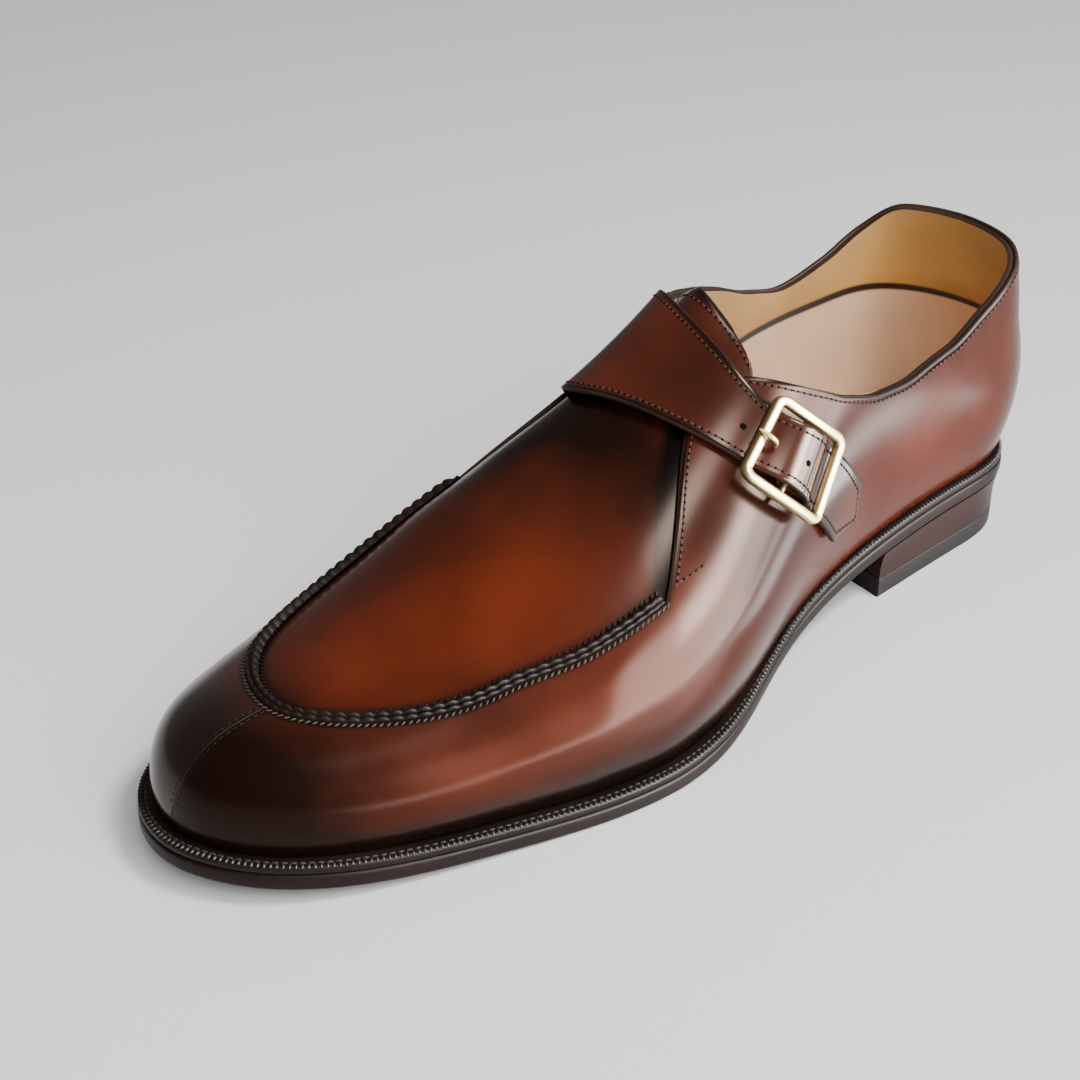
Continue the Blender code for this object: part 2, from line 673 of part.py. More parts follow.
def slab(name, girths, edge, levels, look, front=None):
    """A layer over the rows between its outer and inner edges.

    edge gives each girth's offset, levels are the side's rings from below: extra offset and height by place.
    """
    columns = (0.0, 0.2, 0.5, 0.8, 1.0)
    layers = []
    for extra, height in levels:
        rows = []
        for girth in girths:
            offset = edge(girth) + extra
            outer, inner = (feather_point(girth, side, offset) for side in (1, -1))
            row = []
            for share in columns:
                x, y = outer + (inner - outer) * share
                if front is not None and girth == girths[-1]:
                    x = front(x, share)
                row.append((x, y, float(height(x + HEEL_CENTRE))))
            rows.append(row)
        layers.append(rows)
    polygons = []
    for row in grid_cells(layers[0]):
        polygons.append(row)
    for row in grid_cells(layers[-1]):
        polygons.append(row[::-1])
    for low, high in zip(layers, layers[1:]):
        for column in (0, -1):
            for i in range(len(girths) - 1):
                polygons.append([low[i][column], low[i + 1][column], high[i + 1][column], high[i][column]])
        for i in (0, -1):
            for k in range(len(columns) - 1):
                polygons.append([low[i][k], low[i][k + 1], high[i][k + 1], high[i][k]])
    return solid(name, polygons, look)


def outsole(look):
    """The outsole, rounded at its edge, flat under the tread."""
    levels = (
        (-1.2 * MM, sole_height),
        (0.0, lambda x: sole_height(x) + 1.2 * MM),
        (0.0, lambda x: sole_height(x) + OUTSOLE_THICKNESS - 0.8 * MM),
        (-0.6 * MM, lambda x: sole_height(x) + OUTSOLE_THICKNESS),
    )
    return slab("outsole", girth_rows(), sole_offset, levels, look)


def welt(look):
    """The welt, a closed strip all round under the upper's edge."""
    girths = girth_rows()
    route = [(girth, 1) for girth in girths] + [(girth, -1) for girth in reversed(girths[1:-1])]
    rings = []
    for girth, side in route:
        ring = []
        for offset, rise in ((-WELT_LAP, 0), (-0.3 * MM, 0), (-0.3 * MM, 0.72), (-0.9 * MM, 1), (-WELT_LAP, 1)):
            edge = sole_offset(girth) if offset > -WELT_LAP else 0
            x, y = feather_point(girth, side, edge + offset)
            base = sole_height(x + HEEL_CENTRE) + OUTSOLE_THICKNESS + CLEARANCE
            ring.append((x, y, float(base) + rise * WELT_THICKNESS))
        rings.append(ring)
    return sweep("welt", rings, look, closed=True)


def heel_girths():
    """The rows that the heel spans."""
    return [girth for girth in girth_rows() if girth < HEEL_LENGTH - 3 * MM] + [HEEL_LENGTH]


def heel_edge(girth):
    """The heel's outline, a little inside the sole's."""
    return sole_offset(girth) - 0.3 * MM


def breast_curve(x, share):
    """The breast's hollow, a shallow arc across the heel's front."""
    return x - BREAST_HOLLOW * (1 - (2 * share - 1) ** 2)


def heel_stack(look):
    """The heel's lifts, from the top piece to the outsole."""
    foot = TOP_PIECE_THICKNESS + CLEARANCE
    levels = ((-HEEL_TAPER, lambda x: np.full_like(x, foot)), (0.0, lambda x: sole_height(x) - CLEARANCE))
    return slab("heel_stack", heel_girths(), heel_edge, levels, look, breast_curve)


def heel_top_piece(look):
    """The heel's rubber top piece, flat on the floor."""
    levels = (
        (-HEEL_TAPER - 0.8 * MM, lambda x: np.zeros_like(x)),
        (-HEEL_TAPER, lambda x: np.full_like(x, 0.8 * MM)),
        (-HEEL_TAPER, lambda x: np.full_like(x, TOP_PIECE_THICKNESS)),
    )
    return slab("heel_top_piece", heel_girths(), heel_edge, levels, look, breast_curve)


def insole(look):
    """The insole with its sock, inside the upper on the welt."""
    margin = UPPER_INSIDE - 2 * CLEARANCE
    levels = (
        (0.0, lambda x: sole_height(x) + SOLE_BUILD),
        (0.0, lambda x: sole_height(x) + SOLE_BUILD + INSOLE_THICKNESS - 0.8 * MM),
        (-0.8 * MM, lambda x: sole_height(x) + SOLE_BUILD + INSOLE_THICKNESS),
    )
    return slab("insole", girth_rows(), lambda girth: margin, levels, look)


def buckle_point(along, across, depth):
    """A point at the buckle: lengths along the strap toward its tip and across it toward its front edge."""
    share = BUCKLE_PLACE + along / STRAP_RUN
    rear, front = surface(*np.array([strap_place(share, 0.0), strap_place(share, 1.0)]).T)
    width = np.linalg.norm(front - rear)
    return skin(np.array([strap_place(share, 0.5 + (across + BUCKLE_SHIFT) / width)]), np.array([depth]))[0]


def wire(name, route, radii, look, closed=False, sides=8):
    """A round bar along a route of points."""
    route = [np.array(point) for point in route]
    up = normal(*np.array(strap_place(BUCKLE_PLACE, 0.5)))
    rings = []
    for i, point in enumerate(route):
        ahead = route[(i + 1) % len(route)] if closed or i + 1 < len(route) else point
        behind = route[i - 1] if closed or i else point
        run = (ahead - behind) / np.linalg.norm(ahead - behind)
        side = np.cross(run, up)
        if np.linalg.norm(side) < 0.2:
            side = np.cross(run, route[0] - buckle_point(0, 0, 0))
        side /= np.linalg.norm(side)
        high = np.cross(side, run)
        turns = [2 * math.pi * k / sides for k in range(sides)]
        rings.append([point + radii[i] * (side * math.cos(a) + high * math.sin(a)) for a in turns])
    return sweep(name, rings, look, closed)


def buckle_frame(look):
    """The frame with its bar across the middle."""
    half_length, half_span = BUCKLE_LENGTH / 2 - BUCKLE_WIRE, BUCKLE_SPAN / 2 - BUCKLE_WIRE
    route = []
    for quadrant, (a_side, b_side) in enumerate(((1, 1), (-1, 1), (-1, -1), (1, -1))):
        for step in range(4):
            angle = math.radians(90 * quadrant + 30 * step)
            a = a_side * (half_length - BUCKLE_CORNER) + BUCKLE_CORNER * math.cos(angle)
            b = b_side * (half_span - BUCKLE_CORNER) + BUCKLE_CORNER * math.sin(angle)
            route.append(buckle_point(a, b, FRAME_DEPTH))
        if quadrant in (0, 2):
            route.append(buckle_point(0, b_side * half_span, FRAME_DEPTH))
        else:
            route.append(buckle_point(a_side * half_length, 0, FRAME_DEPTH))
    frame = wire("buckle_frame", route, [BUCKLE_WIRE] * len(route), look, closed=True)
    reach = ((-1.0, FRAME_DEPTH), (-0.93, BAR_DEPTH), (-0.4, BAR_DEPTH), (0.0, BAR_DEPTH))
    reach += tuple((-a, depth) for a, depth in reach[2::-1])
    bar = wire("buckle_bar_guide", [buckle_point(0, b * half_span, depth) for b, depth in reach],
               [BAR_WIRE] * len(reach), look)
    bar.hide_render = True
    bar.display_type = "WIRE"
    union = frame.modifiers.new("bar", "BOOLEAN")
    union.operation = "UNION"
    union.object = bar
    return frame


def buckle_prong(look):
    """The prong: hooked round the bar, up through the strap's hole, its tip on the frame."""
    ring = BAR_WIRE + CLEARANCE + PRONG_WIRE
    route, radii = [], []
    for angle in (-40, 0, 40, 80, 115):
        a, d = ring * math.cos(math.radians(angle)), ring * math.sin(math.radians(angle))
        route.append((a, BAR_DEPTH + d))
        radii.append(PRONG_WIRE)
    top = FRAME_DEPTH + BUCKLE_WIRE + CLEARANCE + PRONG_WIRE
    over = (
        (-2.8 * MM, BAR_DEPTH + 0.6 * ring),
        (-HOLE_LEAD + 2.0 * MM, BAR_DEPTH),
        (-HOLE_LEAD + 0.4 * MM, BAR_DEPTH + 0.1 * ring),
        (-HOLE_LEAD - 0.2 * MM, FRAME_DEPTH - 0.9 * MM),
        (-HOLE_LEAD - 0.6 * MM, FRAME_DEPTH + 0.7 * MM),
        (-HOLE_LEAD - 1.6 * MM, top),
        (-BUCKLE_LENGTH / 2 + BUCKLE_WIRE, top + 0.1 * MM),
        (-BUCKLE_LENGTH / 2 - 0.4 * MM, top + 0.1 * MM),
    )
    route += over
    radii += [PRONG_WIRE] * (len(over) - 1) + [0.6 * PRONG_WIRE]
    return wire("buckle_prong", [buckle_point(a, 0, d) for a, d in route], radii, look)


def buckle_tab(look):
    """The tab on the outer quarter, folded round the bar, with a slot for the prong."""
    low = QUARTER_RISE + CLEARANCE + TAB_THICKNESS / 2
    fold = BAR_WIRE + CLEARANCE + TAB_THICKNESS / 2
    route = [(TAB_TAIL, low), (TAB_TAIL * 2 / 3, low), (TAB_RETURN / 2, low)]
    route += [
        (fold * math.cos(math.radians(angle)), BAR_DEPTH + fold * math.sin(math.radians(angle)))
        for angle in (-90, -135, -180, -225, -270)
    ]
    route += [(TAB_RETURN / 2, BAR_DEPTH + 0.75 * fold), (TAB_RETURN, low + TAB_THICKNESS + CLEARANCE)]
    widths = (-TAB_WIDTH / 2, -TAB_SLOT / 2, TAB_SLOT / 2, TAB_WIDTH / 2)
    slot = range(2, len(route) - 2)
    layers = []
    for side in (1, -1):
        rows = []
        for i, (a, d) in enumerate(route):
            ahead, behind = route[min(i + 1, len(route) - 1)], route[max(i - 1, 0)]
            run = math.hypot(ahead[0] - behind[0], ahead[1] - behind[1])
            out = ((ahead[1] - behind[1]) / run, -(ahead[0] - behind[0]) / run)
            shift = side * TAB_THICKNESS / 2
            rows.append([buckle_point(a + out[0] * shift, b, d + out[1] * shift) for b in widths])
        layers.append(rows)
    cells = [(i, k) for i in range(len(route) - 1) for k in range(len(widths) - 1) if not (k == 1 and i in slot)]
    polygons, edges = [], {}
    for i, k in cells:
        corners = [(i, k), (i + 1, k), (i + 1, k + 1), (i, k + 1)]
        polygons.append([layers[0][a][b] for a, b in corners])
        polygons.append([layers[1][a][b] for a, b in reversed(corners)])
        for pair in zip(corners, corners[1:] + corners[:1]):
            edges.setdefault(frozenset(pair), []).append(pair)
    for pairs in edges.values():
        if len(pairs) == 1:
            (a, b), (c, d) = pairs[0]
            polygons.append([layers[0][c][d], layers[0][a][b], layers[1][a][b], layers[1][c][d]])
    return solid("buckle_tab", polygons, look)


def main():
    """Builds the shoe."""
    for existing in list(bpy.data.objects):
        bpy.data.objects.remove(existing, do_unlink=True)
    calf = material("calf", (0.16, 0.045, 0.018), 0.32)
    apron_calf = material("apron_calf", (0.15, 0.042, 0.018), 0.34)
    strap_calf = material("strap_calf", (0.13, 0.035, 0.016), 0.32)
    seam_calf = material("seam_calf", (0.05, 0.018, 0.010), 0.38)
    tongue_calf = material("tongue_calf", (0.09, 0.028, 0.014), 0.36)
    sock = material("sock", (0.50, 0.27, 0.10), 0.55)
    sole_leather = material("sole_leather", (0.06, 0.028, 0.018), 0.45)
    welt_leather = material("welt_leather", (0.025, 0.016, 0.012), 0.42)
    heel_leather = material("heel_leather", (0.05, 0.020, 0.014), 0.36)
    rubber = material("rubber", (0.015, 0.014, 0.013), 0.6)
    brass = material("brass", (0.72, 0.55, 0.24), 0.25, 1.0)
    tab_calf = material("tab_calf", (0.10, 0.03, 0.015), 0.4)
    shell("upper", upper_cells(), plain(UPPER_OUTSIDE), plain(UPPER_INSIDE), apron_calf)
    quarter_lateral(calf)
    quarter_medial(strap_calf)
    tongue(tongue_calf)
    apron_seam(seam_calf)
    insole(sock)
    outsole(sole_leather)
    welt(welt_leather)
    heel_stack(heel_leather)
    heel_top_piece(rubber)
    buckle_frame(brass)
    buckle_prong(brass)
    buckle_tab(tab_calf)


main()
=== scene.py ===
"""A left monk strap shoe in polished brown calf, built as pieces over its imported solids.

Metres. +X runs to the toe, +Y to the outer side, +Z up. The origin is on the floor under the heel's centre.
Places on the last have two coordinates. Girth is the distance along the feather line from the back of the
seat, round the heel and along to the tip of the toe. Turn goes round the section: 0 at the outer feather
line, 1 on the ridge, 2 at the inner feather line. Depth is measured along the last's normal.
"""
import math
from functools import lru_cache

import bmesh
import bpy
import numpy as np
from bpy.props import FloatProperty, FloatVectorProperty, IntProperty, PointerProperty
from mathutils import Matrix, Vector


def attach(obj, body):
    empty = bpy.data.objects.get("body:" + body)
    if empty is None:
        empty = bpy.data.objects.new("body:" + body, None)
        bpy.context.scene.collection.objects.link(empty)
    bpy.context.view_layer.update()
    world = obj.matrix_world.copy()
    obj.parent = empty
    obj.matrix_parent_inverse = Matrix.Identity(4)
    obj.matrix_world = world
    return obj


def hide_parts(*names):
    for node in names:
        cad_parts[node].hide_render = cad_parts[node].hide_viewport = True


bl_info = {
    "name": "Monk Strap Shoe",
    "version": (1, 0, 0),
    "blender": (4, 5, 0),
    "location": "3D View > Sidebar > Shoe",
    "description": "Builds the finished pieces of a monk strap shoe over its packed solids",
    "category": "Object",
}

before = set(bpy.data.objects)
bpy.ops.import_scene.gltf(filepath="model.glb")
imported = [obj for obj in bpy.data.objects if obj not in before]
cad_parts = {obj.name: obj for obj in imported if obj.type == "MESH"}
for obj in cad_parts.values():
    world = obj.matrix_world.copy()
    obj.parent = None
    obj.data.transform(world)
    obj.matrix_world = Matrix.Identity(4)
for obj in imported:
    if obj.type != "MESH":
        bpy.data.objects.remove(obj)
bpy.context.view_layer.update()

MM = 0.001

# Driving sizes
LAST_LENGTH = 290 * MM
BALL_WIDTH = 98 * MM
INSTEP_HEIGHT = 70 * MM
HEEL_HEIGHT = 18 * MM
TOE_SPRING = 6 * MM
OUTSOLE_THICKNESS = 4.4 * MM
WELT_THICKNESS = 2.2 * MM
WELT_LAP = 4.5 * MM
FOREPART_EDGE = 4.2 * MM
WAIST_EDGE = 2.0 * MM
SEAT_EDGE = 2.5 * MM
TOP_PIECE_THICKNESS = 6.0 * MM
HEEL_TAPER = 1.0 * MM
HEEL_LENGTH = 73 * MM
BREAST_HOLLOW = 2.5 * MM
INSOLE_THICKNESS = 3.5 * MM
UPPER_WALL = 1.6 * MM
QUARTER_THICKNESS = 1.2 * MM
QUARTER_RISE = 0.3 * MM
STRAP_THICKNESS = 1.7 * MM
TONGUE_THICKNESS = 1.6 * MM
SEAM_WIDTH = 3.2 * MM
SEAM_RISE = 2.4 * MM
CLEARANCE = 0.3 * MM
MERGE = 0.004 * MM

# The last's rounds and back line
HEEL_CENTRE = 35 * MM
HEEL_ROUND = 34 * MM
TOE_ROUND = 0.20
TOE_WALL = 26 * MM
BACK_BULGE = 4.5 * MM
BACK_LEAN = 6.0 * MM

# Buckle
BUCKLE_LENGTH = 24 * MM
BUCKLE_SPAN = 26 * MM
BUCKLE_SHIFT = 0.8 * MM
BUCKLE_WIRE = 1.25 * MM
BAR_WIRE = 0.9 * MM
PRONG_WIRE = 0.6 * MM
TAB_THICKNESS = 1.0 * MM
TAB_WIDTH = 13 * MM
TAB_SLOT = 3.4 * MM
TAB_TAIL = 9 * MM
TAIL_EASE = 7 * MM
TAB_RETURN = 6 * MM
HOLE_SIDE = 3.0 * MM
HOLE_LEAD = 6.8 * MM

# Sections of the last. Widths are shares of the ball width and heights shares of the instep height.
# station, feather outer and inner, overhang outer and inner, bulge height, ridge height,
# ridge side shift, roundness outer and inner
SECTIONS = (
    (0.00, 0.270, 0.290, 0.035, 0.035, 0.31, 1.68, 0.00, 2.60, 2.60),
    (0.12, 0.272, 0.295, 0.035, 0.035, 0.31, 1.70, 0.00, 2.60, 2.60),
    (0.25, 0.288, 0.285, 0.040, 0.050, 0.32, 1.60, 0.00, 2.50, 2.50),
    (0.40, 0.340, 0.215, 0.055, 0.095, 0.31, 1.25, -0.02, 2.20, 2.30),
    (0.52, 0.455, 0.290, 0.050, 0.085, 0.27, 1.00, -0.05, 2.00, 2.20),
    (0.62, 0.500, 0.380, 0.045, 0.060, 0.22, 0.84, -0.06, 2.00, 2.20),
    (0.72, 0.450, 0.435, 0.035, 0.040, 0.18, 0.62, -0.05, 2.05, 2.25),
    (0.82, 0.362, 0.425, 0.025, 0.025, 0.13, 0.47, -0.03, 2.10, 2.25),
    (0.91, 0.292, 0.405, 0.015, 0.015, 0.10, 0.38, -0.02, 2.20, 2.25),
    (1.00, 0.245, 0.385, 0.010, 0.010, 0.08, 0.35, 0.00, 2.20, 2.20),
)
# Underside of the sole: station, share of the heel height, share of the toe spring
PITCH = (
    (0.00, 1.00, 0.00),
    (0.12, 0.97, 0.00),
    (0.24, 0.87, 0.00),
    (0.40, 0.42, 0.00),
    (0.52, 0.12, 0.00),
    (0.62, 0.00, 0.00),
    (0.70, 0.00, 0.00),
    (0.82, 0.00, 0.20),
    (0.91, 0.00, 0.52),
    (1.00, 0.00, 1.00),
)
# Sole edge beyond the feather line: station, share of the forepart's edge, of the waist's, of the seat's
SOLE_EDGE = (
    (0.00, 0.0, 0.0, 1.0),
    (0.20, 0.0, 0.0, 1.0),
    (0.34, 0.0, 1.0, 0.0),
    (0.44, 0.1, 0.9, 0.0),
    (0.58, 1.0, 0.0, 0.0),
    (1.00, 1.0, 0.0, 0.0),
)
# Top edge of the outer and inner quarter: girth share, turns up from the outer and the inner feather line.
# Collar first, then the inner side's strap root, then the facings down to the apron's corners.
TOP_EDGE = (
    (-0.100, 0.372, 0.372),
    (0.000, 0.367, 0.367),
    (0.060, 0.350, 0.336),
    (0.120, 0.322, 0.306),
    (0.180, 0.296, 0.292),
    (0.235, 0.294, 0.316),
    (0.290, 0.318, 0.374),
    (0.343, 0.384, 0.462),
    (0.380, 0.468, 0.560),
    (0.405, 0.545, 0.640),
    (0.426, 0.622, 0.640),
    (0.449, 0.705, 0.640),
    (0.468, 0.738, 0.640),
    (0.491, 0.732, 0.640),
    (0.512, 0.700, 0.640),
    (0.535, 0.650, 0.625),
    (0.560, 0.590, 0.590),
    (0.585, 0.530, 0.545),
    (0.609, 0.472, 0.495),
)
# Apron seam along the sides: station, turns up from the outer and the inner feather line
SEAM_SIDES = (
    (0.609, 0.472, 0.495),
    (0.680, 0.484, 0.476),
    (0.760, 0.530, 0.470),
    (0.912, 0.540, 0.470),
)
SEAM_START = 0.609
SEAM_BEND = 0.760
SEAM_FRONT = 0.912
STRAP_REAR = 0.405
STRAP_FRONT = 0.512
LIP = 0.468
# Strap from the inner quarter over the instep to its tip: share of the run, then girth share and turn
# of the front edge and of the rear edge
STRAP = (
    (0.00, 0.512, 1.360, 0.405, 1.360),
    (0.13, 0.529, 1.200, 0.420, 1.200),
    (0.30, 0.525, 0.960, 0.436, 0.960),
    (0.46, 0.510, 0.740, 0.444, 0.745),
    (0.58, 0.488, 0.585, 0.440, 0.600),
    (0.80, 0.436, 0.345, 0.392, 0.388),
    (0.94, 0.396, 0.222, 0.350, 0.268),
    (1.00, 0.379, 0.172, 0.333, 0.218),
)
STRAP_POINT = (0.335, 0.155)
BUCKLE_PLACE = 0.715
# Tongue: station, outer turn, inner turn, rise of its middle as a share of the room under the strap
TONGUE = (
    (0.560, 0.72, 1.28, 0.0),
    (0.520, 0.68, 1.32, 0.0),
    (0.485, 0.64, 1.36, 0.0),
    (0.468, 0.63, 1.37, 0.1),
    (0.450, 0.63, 1.37, 0.7),
    (0.438, 0.64, 1.36, 1.0),
    (0.430, 0.66, 1.34, 1.0),
    (0.425, 0.71, 1.29, 1.0),
    (0.422, 0.79, 1.21, 1.0),
)
TONGUE_SKEW = 0.020
TURN_KNOTS = np.array((0.0, 0.17, 0.43, 0.68, 1.0, 1.32, 1.57, 1.83, 2.0))
SECTION_ANGLES = (30, 60)


def cardinal(knots, at):
    """Weights of the knots' values in the natural cubic spline, one row for each place in at."""
    knots = np.asarray(knots, float)
    at = np.asarray(at, float)
    count = len(knots)
    steps = np.diff(knots)
    bends = np.eye(count)
    slopes = np.zeros((count, count))
    for i in range(1, count - 1):
        before, after = steps[i - 1], steps[i]
        bends[i, i - 1 : i + 2] = before, 2 * (before + after), after
        slopes[i, i - 1 : i + 2] = 6 / before, -6 / before - 6 / after, 6 / after
    second = np.linalg.solve(bends, slopes)
    k = np.clip(np.searchsorted(knots, at, side="right") - 1, 0, count - 2)
    done = at - knots[k]
    left = knots[k + 1] - at
    step = steps[k]
    unit = np.eye(count)
    linear = (left / step)[..., None] * unit[k] + (done / step)[..., None] * unit[k + 1]
    low = ((left**3 / step - step * left) / 6)[..., None] * second[k]
    high = ((done**3 / step - step * done) / 6)[..., None] * second[k + 1]
    return linear + low + high


def follow(table, column, at):
    """A smooth value from one column of a table, its first column the place."""
    table = np.array(table)
    return cardinal(table[:, 0], at) @ table[:, column]


def trend(table, column, at):
    """A smooth value from one column of a table that never overshoots the table's own values."""
    table = np.array(table)
    place, value = table[:, 0], table[:, column]
    steps, rises = np.diff(place), np.diff(value)
    slopes = rises / steps
    bends = np.zeros(len(place))
    same = slopes[:-1] * slopes[1:] > 0
    before, after = slopes[:-1][same], slopes[1:][same]
    near, far = (2 * steps[1:] + steps[:-1])[same], (steps[1:] + 2 * steps[:-1])[same]
    bends[1:-1][same] = (near + far) / (near / before + far / after)
    bends[0], bends[-1] = slopes[0], slopes[-1]
    at = np.clip(at, place[0], place[-1])
    k = np.clip(np.searchsorted(place, at, side="right") - 1, 0, len(steps) - 1)
    t = (at - place[k]) / steps[k]
    rest = 1 - t
    ends = value[k] * (1 + 2 * t) * rest**2 + value[k + 1] * (1 + 2 * rest) * t**2
    return ends + steps[k] * (bends[k] * t * rest**2 - bends[k + 1] * rest * t**2)


def control_points():
    """Each section's nine points: offsets across and heights over the feather line."""
    across, height = [], []
    for _, edge_out, edge_in, over_out, over_in, bulge, ridge, shift, round_out, round_in in SECTIONS:
        low, high = bulge * INSTEP_HEIGHT, ridge * INSTEP_HEIGHT
        middle = shift * BALL_WIDTH
        halves = []
        for edge, over, power, side in ((edge_out, over_out, round_out, 1), (edge_in, over_in, round_in, -1)):
            wide = side * (edge + over) * BALL_WIDTH
            half = [(side * edge * BALL_WIDTH, 0.0), (wide, low)]
            for angle in SECTION_ANGLES:
                reach = math.cos(math.radians(angle)) ** (2 / power)
                lift = math.sin(math.radians(angle)) ** (2 / power)
                half.append((middle + (wide - middle) * reach, low + (high - low) * lift))
            halves.append(half)
        points = halves[0] + [(middle, high)] + halves[1][::-1]
        across.append([point[0] for point in points])
        height.append([point[1] for point in points])
    return np.array(across), np.array(height)


STATIONS = [row[0] for row in SECTIONS]
ACROSS, HEIGHT = control_points()
TOE_START = (1 - TOE_ROUND) * LAST_LENGTH
TOE_REACH = TOE_ROUND * LAST_LENGTH
GIRTH_BACK = HEEL_ROUND * (1 - math.pi / 2)
GIRTH_TIP = TOE_START + TOE_REACH * math.pi / 2
UPPER_OUTSIDE = QUARTER_RISE - QUARTER_THICKNESS - CLEARANCE
UPPER_INSIDE = UPPER_OUTSIDE - UPPER_WALL
TONGUE_DEPTH = UPPER_INSIDE - 2.6 * CLEARANCE
SOLE_BUILD = OUTSOLE_THICKNESS + WELT_THICKNESS + 2.5 * CLEARANCE


def sole_height(x):
    """The underside of the sole over the floor, by the place along the last."""
    share = np.clip(x / LAST_LENGTH, 0, 1)
    rise = follow(PITCH, 1, share) * HEEL_HEIGHT + follow(PITCH, 2, share) * TOE_SPRING
    return np.maximum(rise, 0)


def closing(angle):
    """The width left at an angle from a round's start, 0, to its tip, a quarter turn."""
    s = np.sin(angle)
    return np.cos(angle) * np.sqrt((1 + s + s * s) / (1 + s))


def back_line(height):
    """How far the back of the heel stands behind the feather line."""
    share = height / INSTEP_HEIGHT
    bulge = BACK_BULGE * np.sin(np.clip(share / 0.62, 0, 1) * math.pi)
    return bulge - BACK_LEAN * np.clip(share - 0.30, 0, None) ** 2 / 0.36


def surface(girth, turn):
    """Points of the last."""
    girth, turn = np.broadcast_arrays(np.asarray(girth, float), np.asarray(turn, float))
    heel_angle = np.clip((HEEL_ROUND - girth) / HEEL_ROUND, 0, None)
    toe_angle = np.clip((girth - TOE_START) / TOE_REACH, 0, math.pi / 2)
    weights = cardinal(TURN_KNOTS, turn)
    x = np.maximum(girth, HEEL_ROUND)
    height = (cardinal(STATIONS, np.clip(x / LAST_LENGTH, 0, 1)) @ HEIGHT * weights).sum(-1)
    reach = HEEL_ROUND + back_line(height)
    x = np.where(girth < HEEL_ROUND, HEEL_ROUND - reach * np.sin(heel_angle), x)
    x = np.where(girth > TOE_START, TOE_START + TOE_REACH * np.sin(toe_angle), x)
    rows = cardinal(STATIONS, np.clip(x / LAST_LENGTH, 0, 1))
    y = (rows @ ACROSS * weights).sum(-1)
    z = (rows @ HEIGHT * weights).sum(-1)
    middle = (rows @ ACROSS[:, [0, -1]]).mean(-1)
    y = middle + (y - middle) * closing(toe_angle) * closing(heel_angle)
    drop = np.clip((x - (LAST_LENGTH - TOE_WALL)) / TOE_WALL, 0, 1)
    z = z * np.sqrt(np.clip(1 - drop**3, 0, 1))
    return np.stack((x - HEEL_CENTRE, y, z + sole_height(x) + SOLE_BUILD), -1)


def normal(girth, turn):
    """The last's outward normals."""
    step, bit = 0.2 * MM, 0.002
    along = surface(girth + step, turn) - surface(girth - step, turn)
    around = surface(girth, turn + bit) - surface(girth, turn - bit)
    out = np.cross(around, along)
    out[np.asarray(girth) > GIRTH_TIP - 0.1 * MM] = (1, 0, 0)
    return out / np.linalg.norm(out, axis=-1, keepdims=True)


def skin(places, depth):
    """Points at a depth over the last, negative inside it."""
    places = np.asarray(places, float)
    girth, turn = places[..., 0], places[..., 1]
    turn = np.where(girth < GIRTH_BACK + MERGE, np.minimum(turn, 2 - turn), turn)
    return surface(girth, turn) + normal(girth, turn) * np.asarray(depth)[..., None]


def girth_of(share):
    """The girth of a place in front of the heel's round, by its share of the length."""
    x = share * LAST_LENGTH
    if x <= TOE_START:
        return x
    return TOE_START + TOE_REACH * math.asin(min((x - TOE_START) / TOE_REACH, 1))


def spot(girth, turn):
    """One name for each spot of the last, the same from both sides where the halves meet."""
    if girth > GIRTH_TIP - MERGE:
        return (round(GIRTH_TIP, 6), 0.0)
    if girth < GIRTH_BACK + MERGE:
        turn = min(turn, 2 - turn)
    return (round(girth, 8), round(turn, 8))


def grid_cells(rows):
    """Cells between rows of places with equal counts."""
    cells = []
    for near, far in zip(rows, rows[1:]):
        for i in range(len(near) - 1):
            cells.append([near[i], far[i], far[i + 1], near[i + 1]])
    return cells


def place_share(girth):
    """A row's place as the tables state it: girth over length behind the toe's round, else length."""
    if girth <= TOE_START:
        return girth / LAST_LENGTH
    return (TOE_START + TOE_REACH * math.sin((girth - TOE_START) / TOE_REACH)) / LAST_LENGTH


@lru_cache(maxsize=None)
def top_edge(girth, side):
    """The turn of the quarter's top edge at a girth."""
    share = place_share(girth)
    column = 1 if side > 0 or girth < GIRTH_BACK + MERGE else 2
    if share < SEAM_START:
        value = float(trend(TOP_EDGE, column, share))
    else:
        reach = min(max((share - SEAM_BEND) / (SEAM_FRONT - SEAM_BEND), 0), 1)
        if reach > 1 - 1e-6:
            reach = 1
        value = 1 - (1 - float(trend(SEAM_SIDES, column, share))) * math.sqrt(1 - reach**2)
    return value if side > 0 else 2 - value


@lru_cache(maxsize=None)
def strap_place(along, across):
    """A place on the strap by the shares of its run and of its width, 0 at the rear edge and 1 in front."""
    front = float(follow(STRAP, 1, along)), float(follow(STRAP, 2, along))
    rear = float(follow(STRAP, 3, along)), float(follow(STRAP, 4, along))
    share = rear[0] + (front[0] - rear[0]) * across
    return share * LAST_LENGTH, rear[1] + (front[1] - rear[1]) * across


def strap_length():
    """The length of the strap's middle line."""
    line = surface(*np.array([strap_place(share, 0.5) for share in np.linspace(0, 1, 60)]).T)
    return float(np.linalg.norm(np.diff(line, axis=0), axis=1).sum())


BAR_DEPTH = QUARTER_RISE + CLEARANCE + TAB_THICKNESS + CLEARANCE + BAR_WIRE
BRIDGE_DEPTH = BAR_DEPTH + BAR_WIRE + CLEARANCE + max(2 * PRONG_WIRE, TAB_THICKNESS) + CLEARANCE
STRAP_DEPTH = QUARTER_RISE + 2 * CLEARANCE
TAIL_DEPTH = QUARTER_RISE + 2 * CLEARANCE + TAB_THICKNESS
FRAME_DEPTH = TAIL_DEPTH + STRAP_THICKNESS + CLEARANCE + BUCKLE_WIRE
STRAP_RUN = strap_length()
HOLE_PLACE = BUCKLE_PLACE - HOLE_LEAD / STRAP_RUN


